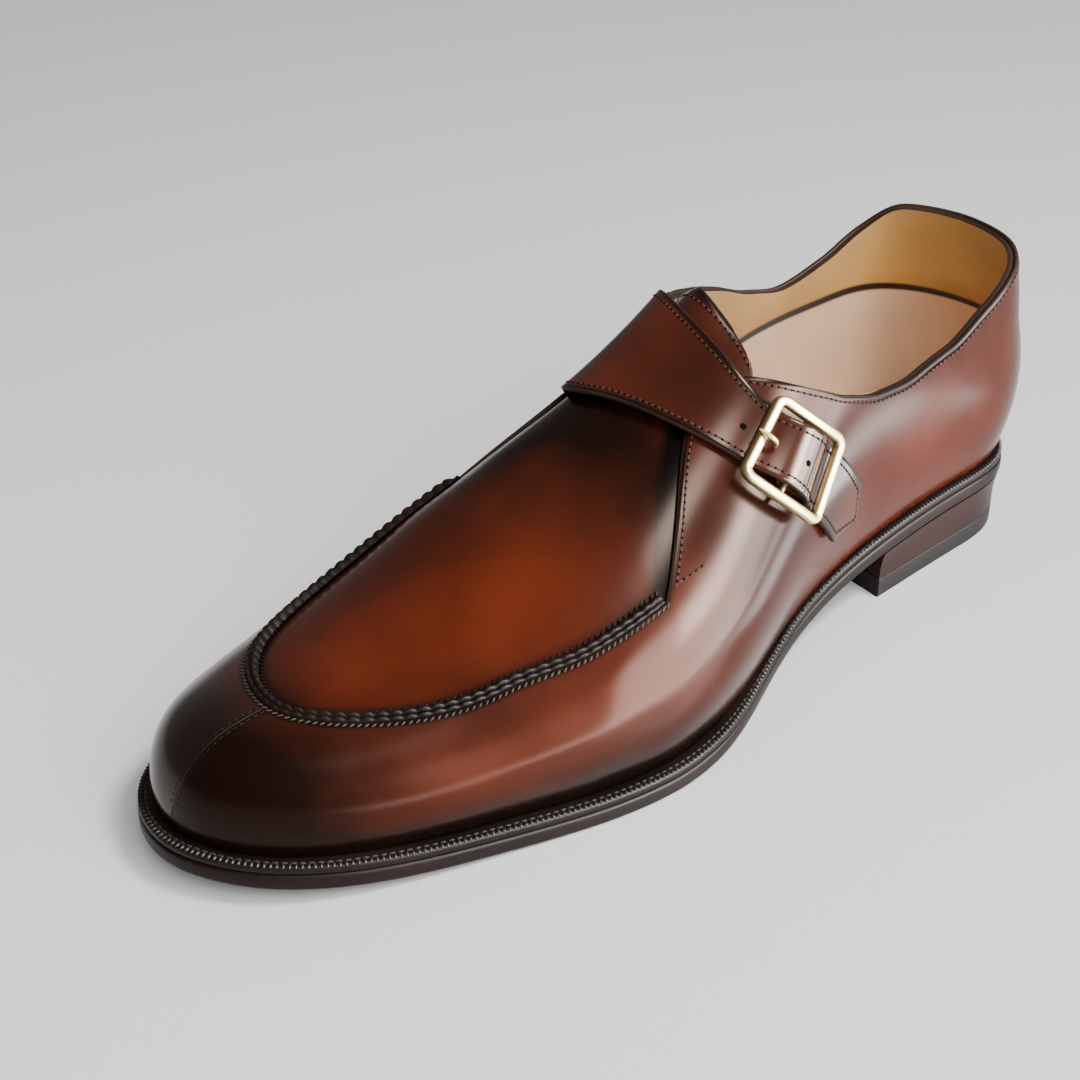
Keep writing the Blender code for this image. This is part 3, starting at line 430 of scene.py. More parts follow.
def feather_point(girth, side, offset):
    """A place of the feather line in plan, moved outward."""
    turn = 0 if side > 0 else 2
    step = 0.2 * MM
    here = surface(girth, turn)[:2]
    ahead, behind = min(girth + step, GIRTH_TIP), girth - step
    run = surface(ahead, turn)[:2] - surface(behind, turn)[:2]
    out = np.array((-run[1], run[0])) * side
    if girth > GIRTH_TIP - step:
        out = np.array((1.0, 0.0))
    return here + out / np.linalg.norm(out) * offset


def sole_offset(girth):
    """How far the sole stands out of the feather line."""
    share = min(max(place_share(girth), 0), 1)
    parts = (FOREPART_EDGE, WAIST_EDGE, SEAT_EDGE)
    return sum(size * float(trend(SOLE_EDGE, i + 1, share)) for i, size in enumerate(parts))


def breast_curve(x, share):
    """The breast's hollow, a shallow arc across the heel's front."""
    return x - BREAST_HOLLOW * (1 - (2 * share - 1) ** 2)


def buckle_point(along, across, depth):
    """A point at the buckle: lengths along the strap toward its tip and across it toward its front edge."""
    share = BUCKLE_PLACE + along / STRAP_RUN
    rear, front = surface(*np.array([strap_place(share, 0.0), strap_place(share, 1.0)]).T)
    width = np.linalg.norm(front - rear)
    return skin(np.array([strap_place(share, 0.5 + (across + BUCKLE_SHIFT) / width)]), np.array([depth]))[0]


# Stitches and holes. The holes' gap is a share of the strap's run, an edge row has its side, start and end,
# and a bar tack's places are a girth share and a turn.
STITCH_INSET = 1.9 * MM
EDGE_INSET = 1.5 * MM
TONGUE_INSET = 2.2 * MM
SEAM_STITCH = 3.4 * MM
CROSS_RISE = 0.05 * MM
CROSS_INSET = 0.55 * MM
CROSS_OUTSET = 0.35 * MM
TOE_STITCH_GAP = 1.1 * MM
TOE_STITCH_MARGIN = 0.004
TOE_STITCH_END = 0.998
WELT_STITCH_START = 0.27
RIB_INSET = 1.0 * MM
HOLE_GAP = 0.078
HOLE_WIDTH = 2.0 * MM
HOLE_HEIGHT = 0.5 * MM
HOLE_SINK = 0.1 * MM
EDGE_ROWS = ((1, -1, 0.600), (-1, -1, 0.402), (-1, 0.520, 0.600))
BAR_TACK = ((0.588, 0.490), (0.574, 0.482), (0.560, 0.476))
# Edges and rounds of the finished pieces
HALF_ROUND = 75 * MM
RIM = 0.3 * MM
LINED_RIM = 0.15 * MM
SOLE_ROUND = 0.9 * MM
INSOLE_ROUND = 0.7 * MM
TOP_PIECE_ROUND = 0.45 * MM
HEEL_WAIST = 0.35 * MM
HEEL_INSET = 0.3 * MM
FRAME_CORNER = 2.2 * MM
FRAME_SWELL = 1.08
FRAME_SQUARE = 3.4
PRONG_SWELL = 1.15
SHARP_ANGLE = math.radians(55)
# The lining's seam, by turn up from the feather line: its place, and how far its dark and its shade reach
LINING_SEAM = 0.25
SEAM_EDGE = 0.003
SEAM_END = 0.008
# Stage
CAMERA_TARGET = (0.12209, -0.02383, 0.03)
FLOOR_SIZE = 6.0
FLOOR_WHITE = 0.86
FLOOR_ROUGHNESS = 0.32
WORLD_STRENGTH = 0.3
# Patina: layer, strength, along, around, reach along, reach around
OUTER_SPOTS = (
    (1, 0.90, 0.38, 0.10, 0.15, 0.14),
    (1, 0.95, 0.14, 0.13, 0.13, 0.15),
    (1, 0.60, 0.26, 0.12, 0.09, 0.13),
    (1, 0.60, 0.71, 0.30, 0.14, 0.13),
    (1, 0.35, 0.60, 0.36, 0.10, 0.14),
    (-1, 1.0, 1.02, 0.40, 0.11, 1.60),
    (-1, 0.55, 0.88, 0.02, 0.20, 0.10),
    (-1, 0.45, 0.62, 0.02, 0.20, 0.08),
    (-1, 0.35, 0.50, 0.45, 0.08, 0.20),
)
INNER_SPOTS = (
    (1, 1.00, 0.358, 0.195, 0.034, 0.065),
    (1, 0.30, 0.46, 0.90, 0.08, 0.25),
    (1, 0.50, 0.36, 1.90, 0.16, 0.16),
    (1, 0.35, 0.70, 1.64, 0.12, 0.10),
    (-1, 1.0, 1.02, 1.60, 0.11, 1.60),
    (-1, 0.50, 0.88, 1.98, 0.20, 0.10),
    (-1, 0.40, 0.46, 1.35, 0.10, 0.16),
    (-1, 0.30, 0.46, 0.75, 0.08, 0.40),
)
APRON_SPOTS = (
    (1, 0.85, 0.775, 0.87, 0.095, 0.28),
    (1, 0.35, 0.69, 0.74, 0.050, 0.14),
    (1, 0.20, 0.84, 0.90, 0.050, 0.20),
    (-1, 0.55, 0.545, 1.00, 0.060, 0.60),
    (-1, 0.40, 0.60, 1.25, 0.10, 0.22),
    (-1, 0.70, 0.925, 1.00, 0.055, 0.60),
)
TONGUE_SPOTS = (
    (1, 0.35, 0.43, 0.80, 0.03, 0.15),
    (-1, 0.50, 0.41, 1.30, 0.04, 0.25),
)
# Plain leathers and threads: colour, darker shade, roughness, scale and strength of the grain
PLAIN_LOOKS = {
    "flesh": ((0.16, 0.07, 0.03), (0.08, 0.03, 0.015), 0.6, 900.0, 0.25),
    "cut_edge": ((0.042, 0.022, 0.016), (0.020, 0.011, 0.008), 0.5, 900.0, 0.25),
    "seam_calf": ((0.014, 0.007, 0.005), (0.006, 0.004, 0.003), 0.50, 1000.0, 0.15),
    "sole_leather": ((0.016, 0.006, 0.005), (0.007, 0.004, 0.003), 0.40, 600.0, 0.2),
    "welt_leather": ((0.016, 0.010, 0.008), (0.007, 0.005, 0.004), 0.38, 900.0, 0.3),
    "heel_leather": ((0.030, 0.0070, 0.0045), (0.010, 0.0035, 0.0028), 0.34, 700.0, 0.15),
    "rubber": ((0.016, 0.013, 0.012), (0.008, 0.007, 0.007), 0.5, 1300.0, 0.2),
    "tab_calf": ((0.17, 0.036, 0.011), (0.070, 0.018, 0.009), 0.32, 700.0, 0.1),
    # Painted shade: a near-black look that stands in for the shade inside the strap's holes and the needle
    # holes.
    "hole_shade": ((0.003, 0.002, 0.002), (0.0015, 0.001, 0.001), 0.8, 900.0, 0.25),
    "dark_thread": ((0.085, 0.034, 0.022), (0.045, 0.018, 0.012), 0.55, 2500.0, 0.4),
    "toe_thread": ((0.012, 0.007, 0.006), (0.006, 0.004, 0.003), 0.5, 2500.0, 0.4),
    "welt_thread": ((0.060, 0.045, 0.034), (0.028, 0.021, 0.016), 0.55, 2500.0, 0.4),
    "seam_thread": ((0.075, 0.054, 0.040), (0.030, 0.021, 0.016), 0.5, 2500.0, 0.4),
}
# Lights: name, kind (gloss lights only what shines, fill only what doesn't), place, size, power, target
LIGHTS = (
    ("window", "gloss", (-0.475, 1.05, 0.42), (1.25, 0.84), 145, (-0.475, 0.0, 0.42)),
    ("pane", "gloss", (-0.46, 1.00, 0.60), (0.48, 0.28), 32, (-0.46, 0.0, 0.60)),
    ("sill", "gloss", (-0.05, 0.50, 0.004), (0.75, 0.50), 40, (-0.05, 0.50, 1.0)),
    ("card", "gloss", (-0.03, 0.115, 0.003), (0.12, 0.06), 0.32, (-0.03, 0.115, 1.0)),
    ("side", "fill", (0.30, 1.00, 0.90), (1.4, 1.0), 25, (0.1, 0.02, 0.04)),
    ("overhead", "both", (-0.14, 0.56, 1.20), (0.34, 0.24), 14, (0.1, 0.0, 0.04)),
)
# Rows of the fine grids: from, to, count, as shares of the length
FINE_STATIONS = (
    (0.117, 0.405, 56),
    (0.405, 0.468, 14),
    (0.468, 0.512, 10),
    (0.512, 0.609, 24),
    (0.609, 0.760, 32),
)
# The welt's profile: inward from the sole's edge, and height as a share of its thickness
WELT_PROFILE = (
    (-WELT_LAP, 0.0),
    (-0.50 * MM, 0.0),
    (-0.20 * MM, 0.20),
    (-0.20 * MM, 0.70),
    (-0.45 * MM, 0.95),
    (-0.90 * MM, 1.0),
    (-2.20 * MM, 0.98),
    (-3.00 * MM, 0.98),
    (-WELT_LAP, 1.0),
)
# The apron seam's section: across it and up, as shares of its width and its rise
BEAD_ACROSS = (0.0, 0.06, 0.16, 0.27, 0.38, 0.45, 0.52, 0.62, 0.75, 0.87, 0.96, 1.0)
BEAD_RISE = (0.30, 0.66, 0.86, 0.92, 0.80, 0.66, 0.82, 0.98, 1.0, 0.84, 0.50, 0.0)
# Soft troughs and ridges where the shoe bends: share, turn, reach along, reach around, slant, depth
CREASES = (
    (0.655, 0.250, 7.0 * MM, 18.0 * MM, 0.35, -0.22 * MM),
    (0.695, 0.220, 7.5 * MM, 16.0 * MM, 0.30, 0.15 * MM),
    (0.630, 1.000, 8.0 * MM, 26.0 * MM, 0.10, -0.60 * MM),
    (0.672, 1.020, 8.5 * MM, 26.0 * MM, 0.06, 0.30 * MM),
    (0.712, 1.000, 8.0 * MM, 24.0 * MM, 0.00, -0.30 * MM),
    (0.655, 1.700, 5.0 * MM, 18.0 * MM, -0.30, -0.60 * MM),
    (0.695, 1.720, 5.0 * MM, 18.0 * MM, -0.25, 0.40 * MM),
    (0.300, 0.170, 20.0 * MM, 9.0 * MM, 0.25, -0.50 * MM),
    (0.180, 0.225, 16.0 * MM, 6.0 * MM, 0.10, -0.35 * MM),
)


class LeatherLooks(bpy.types.PropertyGroup):
    """Colours of the leathers"""

    dark: FloatVectorProperty(
        name="Dark patina", description="Colour of the toe and of the edges", subtype="COLOR",
        default=(0.0075, 0.0026, 0.0016), min=0, max=1,
    )
    middle: FloatVectorProperty(
        name="Middle patina", description="Colour of most of the calf", subtype="COLOR",
        default=(0.088, 0.0170, 0.0078), min=0, max=1,
    )
    bright: FloatVectorProperty(
        name="Bright patina", description="Colour where the calf glows", subtype="COLOR",
        default=(0.200, 0.030, 0.0100), min=0, max=1,
    )
    lining: FloatVectorProperty(
        name="Lining", description="Colour of the lining", subtype="COLOR",
        default=(0.56, 0.30, 0.078), min=0, max=1,
    )
    sock: FloatVectorProperty(
        name="Sock", description="Colour of the sock", subtype="COLOR",
        default=(0.74, 0.50, 0.32), min=0, max=1,
    )
    roughness: FloatProperty(
        name="Roughness", description="Roughness of the polished calf", default=0.21, min=0.05, max=1
    )


class StitchSizes(bpy.types.PropertyGroup):
    """Sizes of the stitches"""

    spacing: FloatProperty(
        name="Upper spacing", description="From stitch to stitch on the upper",
        default=1.9 * MM, unit="LENGTH",
    )
    thread: FloatProperty(
        name="Thread", description="Width of the upper's thread", default=0.52 * MM, unit="LENGTH"
    )
    welt_spacing: FloatProperty(
        name="Welt spacing", description="From stitch to stitch on the welt", default=2.1 * MM, unit="LENGTH"
    )
    seed: IntProperty(name="Seed", description="Seed of the stitches' small turns", default=3)


class StageSizes(bpy.types.PropertyGroup):
    """The camera's place and lens"""

    azimuth: FloatProperty(name="Azimuth", description="Camera's azimuth in degrees", default=137.169)
    elevation: FloatProperty(name="Elevation", description="Camera's elevation in degrees", default=30.752)
    roll: FloatProperty(name="Roll", description="Camera's roll in degrees", default=0.122)
    distance: FloatProperty(name="Distance", description="Camera to target", default=0.5406, unit="LENGTH")
    lens: FloatProperty(name="Lens", description="Focal length in millimetres", default=65.744)


# Meshes


def trimmed(values, least):
    """Sorted values without those nearer than least to the one before."""
    kept = []
    for value in sorted(values):
        if not kept or value - kept[-1] > least:
            kept.append(value)
    return kept


@lru_cache(maxsize=None)
def fine_girths():
    """The girths of the fine rows, from the back of the heel to the tip of the toe."""
    heel = [HEEL_ROUND * (1 - math.radians(angle)) for angle in np.linspace(90, 0, 31)]
    side = []
    for low, high, count in FINE_STATIONS:
        side += [girth_of(share) for share in np.linspace(low, high, count + 1)]
    bends = np.linspace(0, math.pi / 2, 39)
    front = [girth_of(SEAM_BEND + (SEAM_FRONT - SEAM_BEND) * math.sin(bend)) for bend in bends]
    start = (girth_of(SEAM_FRONT) - TOE_START) / TOE_REACH
    toe = [TOE_START + TOE_REACH * angle for angle in np.linspace(start, math.pi / 2, 30)]
    return trimmed(heel + side + front + toe, 0.02 * MM)


def share_of(girths):
    """Places along the length for many girths."""
    girths = np.asarray(girths, float)
    angle = np.clip((girths - TOE_START) / TOE_REACH, 0, math.pi / 2)
    return np.where(girths > TOE_START, TOE_START + TOE_REACH * np.sin(angle), girths) / LAST_LENGTH


def creases(places):
    """How far the bends of wear move the leather at each place."""
    shares, turns = share_of(places[:, 0]), places[:, 1]
    total = np.zeros(len(places))
    for share, turn, along, around, slant, depth in CREASES:
        x, y = (shares - share) * LAST_LENGTH, (turns - turn) * HALF_ROUND
        x = x + slant * y
        total += depth * np.exp(-((x / along) ** 2) - (y / around) ** 2)
    return total


def wall_turns(edge, low=15, high=27):
    """The turns of a fine wall row up to its top edge, the lower ones the same along the shoe."""
    base = min(0.6 * edge, 0.30)
    lower = [base * i / low for i in range(low)]
    return lower + [base + (edge - base) * i / high for i in range(high + 1)]


def wall(girth, side, low=15, high=27):
    """The places of a fine wall row."""
    edge = top_edge(girth, side)
    if side > 0:
        return [(girth, turn) for turn in wall_turns(edge, low, high)]
    return [(girth, 2 - turn) for turn in wall_turns(2 - edge, low, high)]


def finish_mesh(name, points, faces, fields=None, slots=None, merge=0.002 * MM, turn_out=True):
    """A smooth object from points and faces. Fields are values of the points, slots are one number a face."""
    mesh = bpy.data.meshes.new(name)
    mesh.from_pydata([tuple(point) for point in points], [], faces)
    for field, values in (fields or {}).items():
        mesh.attributes.new(field, "FLOAT", "POINT").data.foreach_set("value", np.asarray(values, np.float32))
    if slots is not None:
        mesh.polygons.foreach_set("material_index", np.asarray(slots, np.int32))
    work = bmesh.new()
    work.from_mesh(mesh)
    bmesh.ops.remove_doubles(work, verts=work.verts, dist=merge)
    bmesh.ops.dissolve_degenerate(work, dist=merge / 4, edges=work.edges)
    if turn_out:
        bmesh.ops.recalc_face_normals(work, faces=work.faces)
    work.to_mesh(mesh)
    work.free()
    mesh.shade_smooth()
    mesh.set_sharp_from_angle(angle=SHARP_ANGLE)
    made = bpy.data.objects.new(name, mesh)
    bpy.context.scene.collection.objects.link(made)
    return made


def leather(name, cells, outside, inside, edge_line=None, rim=RIM):
    """A leather wall over cells of places: skins, and rounded rims where the cells end.

    Faces take slot 0 outside, 1 inside and 2 on the rims. Its points keep their share, turn, level and
    distance to the edge.
    """
    index = {}
    for cell in cells:
        for place in cell:
            index.setdefault(tuple(place), len(index))
    keys = np.array(list(index))
    outer, inner = outside(keys), inside(keys)
    count = len(keys)
    faces, slots, edges = [], [], {}
    spots = [spot(*key) for key in index]
    for cell in cells:
        ids = [index[tuple(place)] for place in cell]
        faces.append(ids)
        faces.append([count + i for i in reversed(ids)])
        slots += [0, 1]
        middle = outer[ids].mean(0)
        for a, b in zip(ids, ids[1:] + ids[:1]):
            if spots[a] != spots[b]:
                edges.setdefault(frozenset((spots[a], spots[b])), []).append((a, b, middle))
    bounds = [pairs[0] for pairs in edges.values() if len(pairs) == 1]
    away = np.zeros((count, 3))
    for a, b, middle in bounds:
        run = outer[b] - outer[a]
        out = (outer[a] + outer[b]) / 2 - middle
        out = out - run * (out @ run) / max(run @ run, 1e-14)
        through = outer[a] - inner[a]
        out = out - through * (out @ through) / max(through @ through, 1e-14)
        out = out / max(np.linalg.norm(out), 1e-9) * np.linalg.norm(run)
        away[a] += out
        away[b] += out
    sized = np.linalg.norm(away, axis=1)
    away[sized > 0] /= sized[sized > 0][:, None]
    ring = sorted({i for a, b, _ in bounds for i in (a, b)})
    at = {i: k for k, i in enumerate(ring)}
    ring = np.array(ring, int)
    points = [outer, inner]
    base = 2 * count
    layers = ((0.12, 0.75), (0.5, 1.0), (0.88, 0.75))
    for through, out in layers:
        points.append(outer[ring] * (1 - through) + inner[ring] * through + away[ring] * rim * out)
    for a, b, _ in bounds:
        tops = [(a, b)] + [(base + k * len(ring) + at[a], base + k * len(ring) + at[b]) for k in range(3)]
        tops.append((count + a, count + b))
        for (a0, b0), (a1, b1) in zip(tops, tops[1:]):
            faces.append([b0, a0, a1, b1])
            slots.append(2)
    points = np.concatenate(points)
    shares, turns = share_of(keys[:, 0]), keys[:, 1]
    levels = np.minimum(turns, 2 - turns)
    reach = np.full(count, 0.05)
    if edge_line is not None:
        line = np.asarray(edge_line, np.float32)
        for start in range(0, count, 4000):
            block = outer[start : start + 4000].astype(np.float32)
            gap = ((block[:, None, :] - line[None]) ** 2).sum(-1)
            reach[start : start + 4000] = np.sqrt(gap.min(1))
    rings = [np.concatenate([values, values] + [values[ring]] * 3) for values in (shares, turns, levels)]
    reach = np.concatenate([reach, reach] + [np.zeros(len(ring))] * 3)
    fields = {"share": rings[0], "turn": rings[1], "level": rings[2], "edge": reach * 1000}
    return finish_mesh(name, points, faces, fields, slots)


def parted_skin(depth, side, worn=1.0):
    """A skin at a depth that stops clear of the middle, where the two quarters meet."""

    def place_all(places):
        points = skin(places, depth + worn * creases(places))
        at_back = places[:, 0] < GIRTH_BACK + 0.01 * MM
        at_split = (np.abs(places[:, 1] - 1) < 1e-6) | (places[:, 0] > GIRTH_TIP - 0.01 * MM)
        at_split &= places[:, 0] > girth_of(SEAM_FRONT) - 0.01 * MM
        points[at_back | at_split, 1] += side * CLEARANCE / 2
        return points

    return place_all


def strap_height(along):
    """How high the strap's underside lies over the last, along its run."""
    start = np.clip(along / STRAP[1][0], 0, 1)
    start = start * start * (3 - 2 * start)
    root = QUARTER_RISE - QUARTER_THICKNESS
    lead = (along - BUCKLE_PLACE) * STRAP_RUN
    bar, end = BAR_WIRE + CLEARANCE + TAB_THICKNESS, BUCKLE_LENGTH / 2
    high = BRIDGE_DEPTH - TAIL_DEPTH
    table = (
        (-0.2, STRAP_DEPTH),
        (-end - 1.5 * MM, STRAP_DEPTH),
        (2 * BUCKLE_WIRE - end, TAIL_DEPTH - CLEARANCE),
        (-HOLE_LEAD + HOLE_SIDE / 3, TAIL_DEPTH + 0.42 * high),
        (-bar, TAIL_DEPTH + 0.88 * high),
        (0.0, BRIDGE_DEPTH),
        (bar, TAIL_DEPTH + 0.97 * high),
        (TAB_RETURN, TAIL_DEPTH + 0.55 * high),
        (TAB_TAIL, TAIL_DEPTH),
        (TAB_TAIL + TAIL_EASE, STRAP_DEPTH),
        (0.2, STRAP_DEPTH),
    )
    return root + (trend(table, 1, lead) - root) * start


def edge_points(side, depth, shares=None):
    """The top edge of a quarter as fine points."""
    girths = fine_girths()
    if shares is not None:
        girths = [girth for girth in girths if shares[0] <= place_share(girth) <= shares[1]]
    places = np.array([(girth, top_edge(girth, side)) for girth in girths])
    return skin(places, np.full(len(places), depth))


def outer_quarter():
    """The outer wall and quarter."""
    cells = grid_cells([wall(girth, 1) for girth in fine_girths()])
    line = edge_points(1, QUARTER_RISE)
    outside, inside = parted_skin(QUARTER_RISE, 1), parted_skin(QUARTER_RISE - QUARTER_THICKNESS, 1)
    return leather("quarter_outer", cells, outside, inside, line)


def strap_grid():
    """The strap's rows of places and the share of its run for each place."""
    root = [girth for girth in fine_girths() if STRAP_REAR - 1e-6 <= place_share(girth) <= STRAP_FRONT + 1e-6]
    columns = [(place_share(girth) - STRAP_REAR) / (STRAP_FRONT - STRAP_REAR) for girth in root]
    where, rows = {}, []
    for along in np.linspace(0, 1, 111):
        row = []
        for girth, across in zip(root, columns):
            place = strap_place(along, across) if along > 0 else (girth, top_edge(girth, -1))
            where[place] = along
            row.append(place)
        rows.append(row)
    tip = (STRAP_POINT[0] * LAST_LENGTH, STRAP_POINT[1])
    end = rows[-1]
    for done in (0.25, 0.5, 0.75, 0.93):
        row = [(a + (tip[0] - a) * done, b + (tip[1] - b) * done) for a, b in end]
        where.update({place: 1.0 for place in row})
        rows.append(row)
    where[tip] = 1.0
    return rows, where, tip


def inner_quarter():
    """The inner wall and quarter with its strap, cut in one."""
    rows, where, tip = strap_grid()
    cells = grid_cells([wall(girth, -1) for girth in fine_girths()]) + grid_cells([row[::-1] for row in rows])
    cells += [[rows[-1][i + 1], tip, rows[-1][i]] for i in range(len(rows[-1]) - 1)]

    def at(base, lift):
        def place_all(places):
            points = parted_skin(base, -1)(places)
            on_strap = [i for i, place in enumerate(places) if where.get(tuple(place), 0) > 0]
            alongs = np.array([where[tuple(places[i])] for i in on_strap])
            points[on_strap] = skin(places[on_strap], strap_height(alongs) + lift)
            return points

        return place_all

    edges = [row[0] for row in rows] + [row[-1] for row in rows] + [tip]
    line = skin(np.array(edges), np.full(len(edges), STRAP_DEPTH + STRAP_THICKNESS))
    beside = [edge_points(-1, QUARTER_RISE, shares) for shares in ((-1, STRAP_REAR), (STRAP_FRONT, 2))]
    line = np.concatenate((line, *beside))
    low, high = QUARTER_RISE - QUARTER_THICKNESS, QUARTER_RISE
    return leather("quarter_inner", cells, at(high, STRAP_THICKNESS), at(low, 0), line)


def upper_shell():
    """The lined upper: apron, walls under the quarters, counter and lining."""
    girths = fine_girths()
    cells = []
    for side in (1, -1):
        cells += grid_cells([wall(girth, side, 10, 18) for girth in girths])
        aprons = []
        for girth in girths:
            if LIP - 1e-6 < place_share(girth) < SEAM_FRONT + 1e-6:
                low = top_edge(girth, side)
                aprons.append([(girth, low + (1 - low) * i / 22) for i in range(23)])
        cells += grid_cells(aprons)
    line = np.concatenate([edge_points(side, UPPER_OUTSIDE) for side in (1, -1)])

    def outside(places):
        return skin(places, UPPER_OUTSIDE + creases(places))

    def inside(places):
        return skin(places, UPPER_INSIDE + 0.5 * creases(places))

    return leather("upper_lined", cells, outside, inside, line, rim=LINED_RIM)


def tongue_row(share, across):
    """The tongue's places across at a share of the length, and how high its middle rises there."""
    turned = [(-row[0], *row[1:]) for row in TONGUE]
    low, high, rise = (float(trend(turned, column, -share)) for column in (1, 2, 3))
    first, last = TONGUE[0][0], TONGUE[-1][0]
    done = (first - share) / (first - last)
    girths = (share - TONGUE_SKEW * done * across) * LAST_LENGTH
    return np.stack((girths, low + (high - low) * across), 1), rise


def tongue_depth(rise, across):
    """The tongue's depth: under the upper at its sides, up under the strap in its middle."""
    room = STRAP_DEPTH - 2 * CLEARANCE - TONGUE_DEPTH
    return TONGUE_DEPTH + room * rise * np.sin(math.pi * across) ** 4


def tongue_piece():
    """The tongue, under the upper's lip and out behind the strap."""
    rows, depths = [], {}
    across = np.linspace(0, 1, 49)
    for share in np.linspace(TONGUE[0][0], TONGUE[-1][0], 61):
        places, rise = tongue_row(share, across)
        row = [tuple(place) for place in places]
        depths.update(zip(row, tongue_depth(rise, across)))
        rows.append(row)

    def at(extra):
        return lambda places: skin(places, np.array([depths[tuple(place)] for place in places]) + extra)

    line = at(0)(np.array(rows[-1]))
    cells = grid_cells([row[::-1] for row in rows])
    return leather("tongue_piece", cells, at(0), at(-TONGUE_THICKNESS), line)


def swept(name, rings, closed=False, fields=None):
    """A smooth solid through rings of points, capped at both ends or closed on itself."""
    rings = [np.asarray(ring) for ring in rings]
    sides, count = len(rings[0]), len(rings)
    faces = []
    for i in range(count if closed else count - 1):
        near, far = i * sides, (i + 1) % count * sides
        faces += [[near + k, near + (k + 1) % sides, far + (k + 1) % sides, far + k] for k in range(sides)]
    if not closed:
        faces += [list(range(sides))[::-1], list(range((count - 1) * sides, count * sides))]
    return finish_mesh(name, np.concatenate(rings), faces, fields)


def layered(name, girths, edge, levels, columns=(0.0, 0.06, 0.2, 0.4, 0.6, 0.8, 0.94, 1.0), front=None):
    """A layer over the rows between its outer and inner edges, its side in rings from below."""
    grid = np.zeros((len(levels), len(girths), len(columns), 3))
    for i, girth in enumerate(girths):
        for k, (extra, height) in enumerate(levels):
            outer, inner = (feather_point(girth, side, edge(girth) + extra) for side in (1, -1))
            for j, share in enumerate(columns):
                x, y = outer + (inner - outer) * share
                if front is not None and i == len(girths) - 1:
                    x = front(x, share)
                grid[k, i, j] = x, y, float(height(x + HEEL_CENTRE))
    tops, rows, across = grid.shape[:3]
    number = np.arange(tops * rows * across).reshape(tops, rows, across)
    faces = []
    for level, flip in ((0, 1), (tops - 1, 0)):
        n = number[level]
        for i in range(rows - 1):
            for j in range(across - 1):
                face = [n[i, j], n[i + 1, j], n[i + 1, j + 1], n[i, j + 1]]
                faces.append(face[::-1] if flip else face)
    for k in range(tops - 1):
        low, high = number[k], number[k + 1]
        for j in (0, across - 1):
            faces += [[low[i, j], low[i + 1, j], high[i + 1, j], high[i, j]] for i in range(rows - 1)]
        for i in (0, rows - 1):
            faces += [[low[i, j], low[i, j + 1], high[i, j + 1], high[i, j]] for j in range(across - 1)]
    faces = [[int(i) for i in face] for face in faces]
    rise = np.repeat(np.linspace(0, 1, tops), rows * across)
    return finish_mesh(name, grid.reshape(-1, 3), faces, {"rise": rise})


def rounded_levels(low, high, radius, inset=0.0):
    """Levels of a side that is rounded below and above."""
    below, above = [], []
    for angle in np.linspace(0, math.pi / 2, 5):
        near, far = radius * (1 - math.sin(angle)), radius * (1 - math.cos(angle))
        below.append((-inset - near, lambda x, up=far: low(x) + up))
        above.append((-inset - far, lambda x, down=near: high(x) - down))
    return below + above


def sole_pieces():
    """The outsole, the welt, the insole, the heel's lifts and its top piece."""
    girths = fine_girths()[::2] + [GIRTH_TIP]
    levels = rounded_levels(sole_height, lambda x: sole_height(x) + OUTSOLE_THICKNESS, SOLE_ROUND)
    sole = layered("outsole_leather", girths, sole_offset, levels)
    rings = []
    for girth, side in [(girth, 1) for girth in girths] + [(girth, -1) for girth in girths[-2:0:-1]]:
        ring = []
        for offset, rise in WELT_PROFILE:
            edge = sole_offset(girth) if offset > -WELT_LAP else 0
            x, y = feather_point(girth, side, edge + offset)
            base = sole_height(x + HEEL_CENTRE) + OUTSOLE_THICKNESS + CLEARANCE / 2
            ring.append((x, y, float(base) + rise * WELT_THICKNESS))
        rings.append(ring)
    strip = swept("welt_strip", rings, closed=True)
    margin = UPPER_INSIDE - 2 * CLEARANCE
    base = SOLE_BUILD + INSOLE_THICKNESS
    low, high = lambda x: sole_height(x) + SOLE_BUILD, lambda x: sole_height(x) + base
    levels = rounded_levels(low, high, INSOLE_ROUND)
    inner = layered("insole_sock", girths, lambda girth: margin, levels)
    heel_rows = [girth for girth in girths if girth < HEEL_LENGTH - 1.5 * MM] + [HEEL_LENGTH]
    foot = TOP_PIECE_THICKNESS + CLEARANCE
    levels = []
    for rise in np.linspace(0, 1, 13):
        inset = HEEL_TAPER * (1 - rise) + HEEL_WAIST * math.sin(math.pi * rise)
        levels.append((-inset, lambda x, r=rise: foot + r * (sole_height(x) - CLEARANCE - foot)))
    stack = layered("heel_lifts", heel_rows, heel_outline, levels, front=breast_curve)
    low, high = lambda x: 0 * x, lambda x: 0 * x + TOP_PIECE_THICKNESS
    levels = rounded_levels(low, high, TOP_PIECE_ROUND, HEEL_TAPER)
    cap = layered("heel_rubber", heel_rows, heel_outline, levels, front=breast_curve)
    return sole, strip, inner, stack, cap


def heel_outline(girth):
    """The heel's outline, a little inside the sole's."""
    return sole_offset(girth) - HEEL_INSET


# Finishes


def add(tree, kind, values=None, **settings):
    """A node with its settings and its sockets' values."""
    made = tree.nodes.new(kind)
    for setting, value in settings.items():
        setattr(made, setting, value)
    for socket, value in (values or {}).items():
        if isinstance(value, bpy.types.NodeSocket):
            tree.links.new(value, made.inputs[socket])
        else:
            made.inputs[socket].default_value = value
    return made


def blended(tree, share, low, high, kind="MIX"):
    """A colour between two."""
    made = add(tree, "ShaderNodeMix", {0: share}, data_type="RGBA", blend_type=kind)
    for socket, value in ((6, low), (7, high)):
        if isinstance(value, bpy.types.NodeSocket):
            tree.links.new(value, made.inputs[socket])
        else:
            made.inputs[socket].default_value = (*value[:3], 1)
    return made.outputs[2]


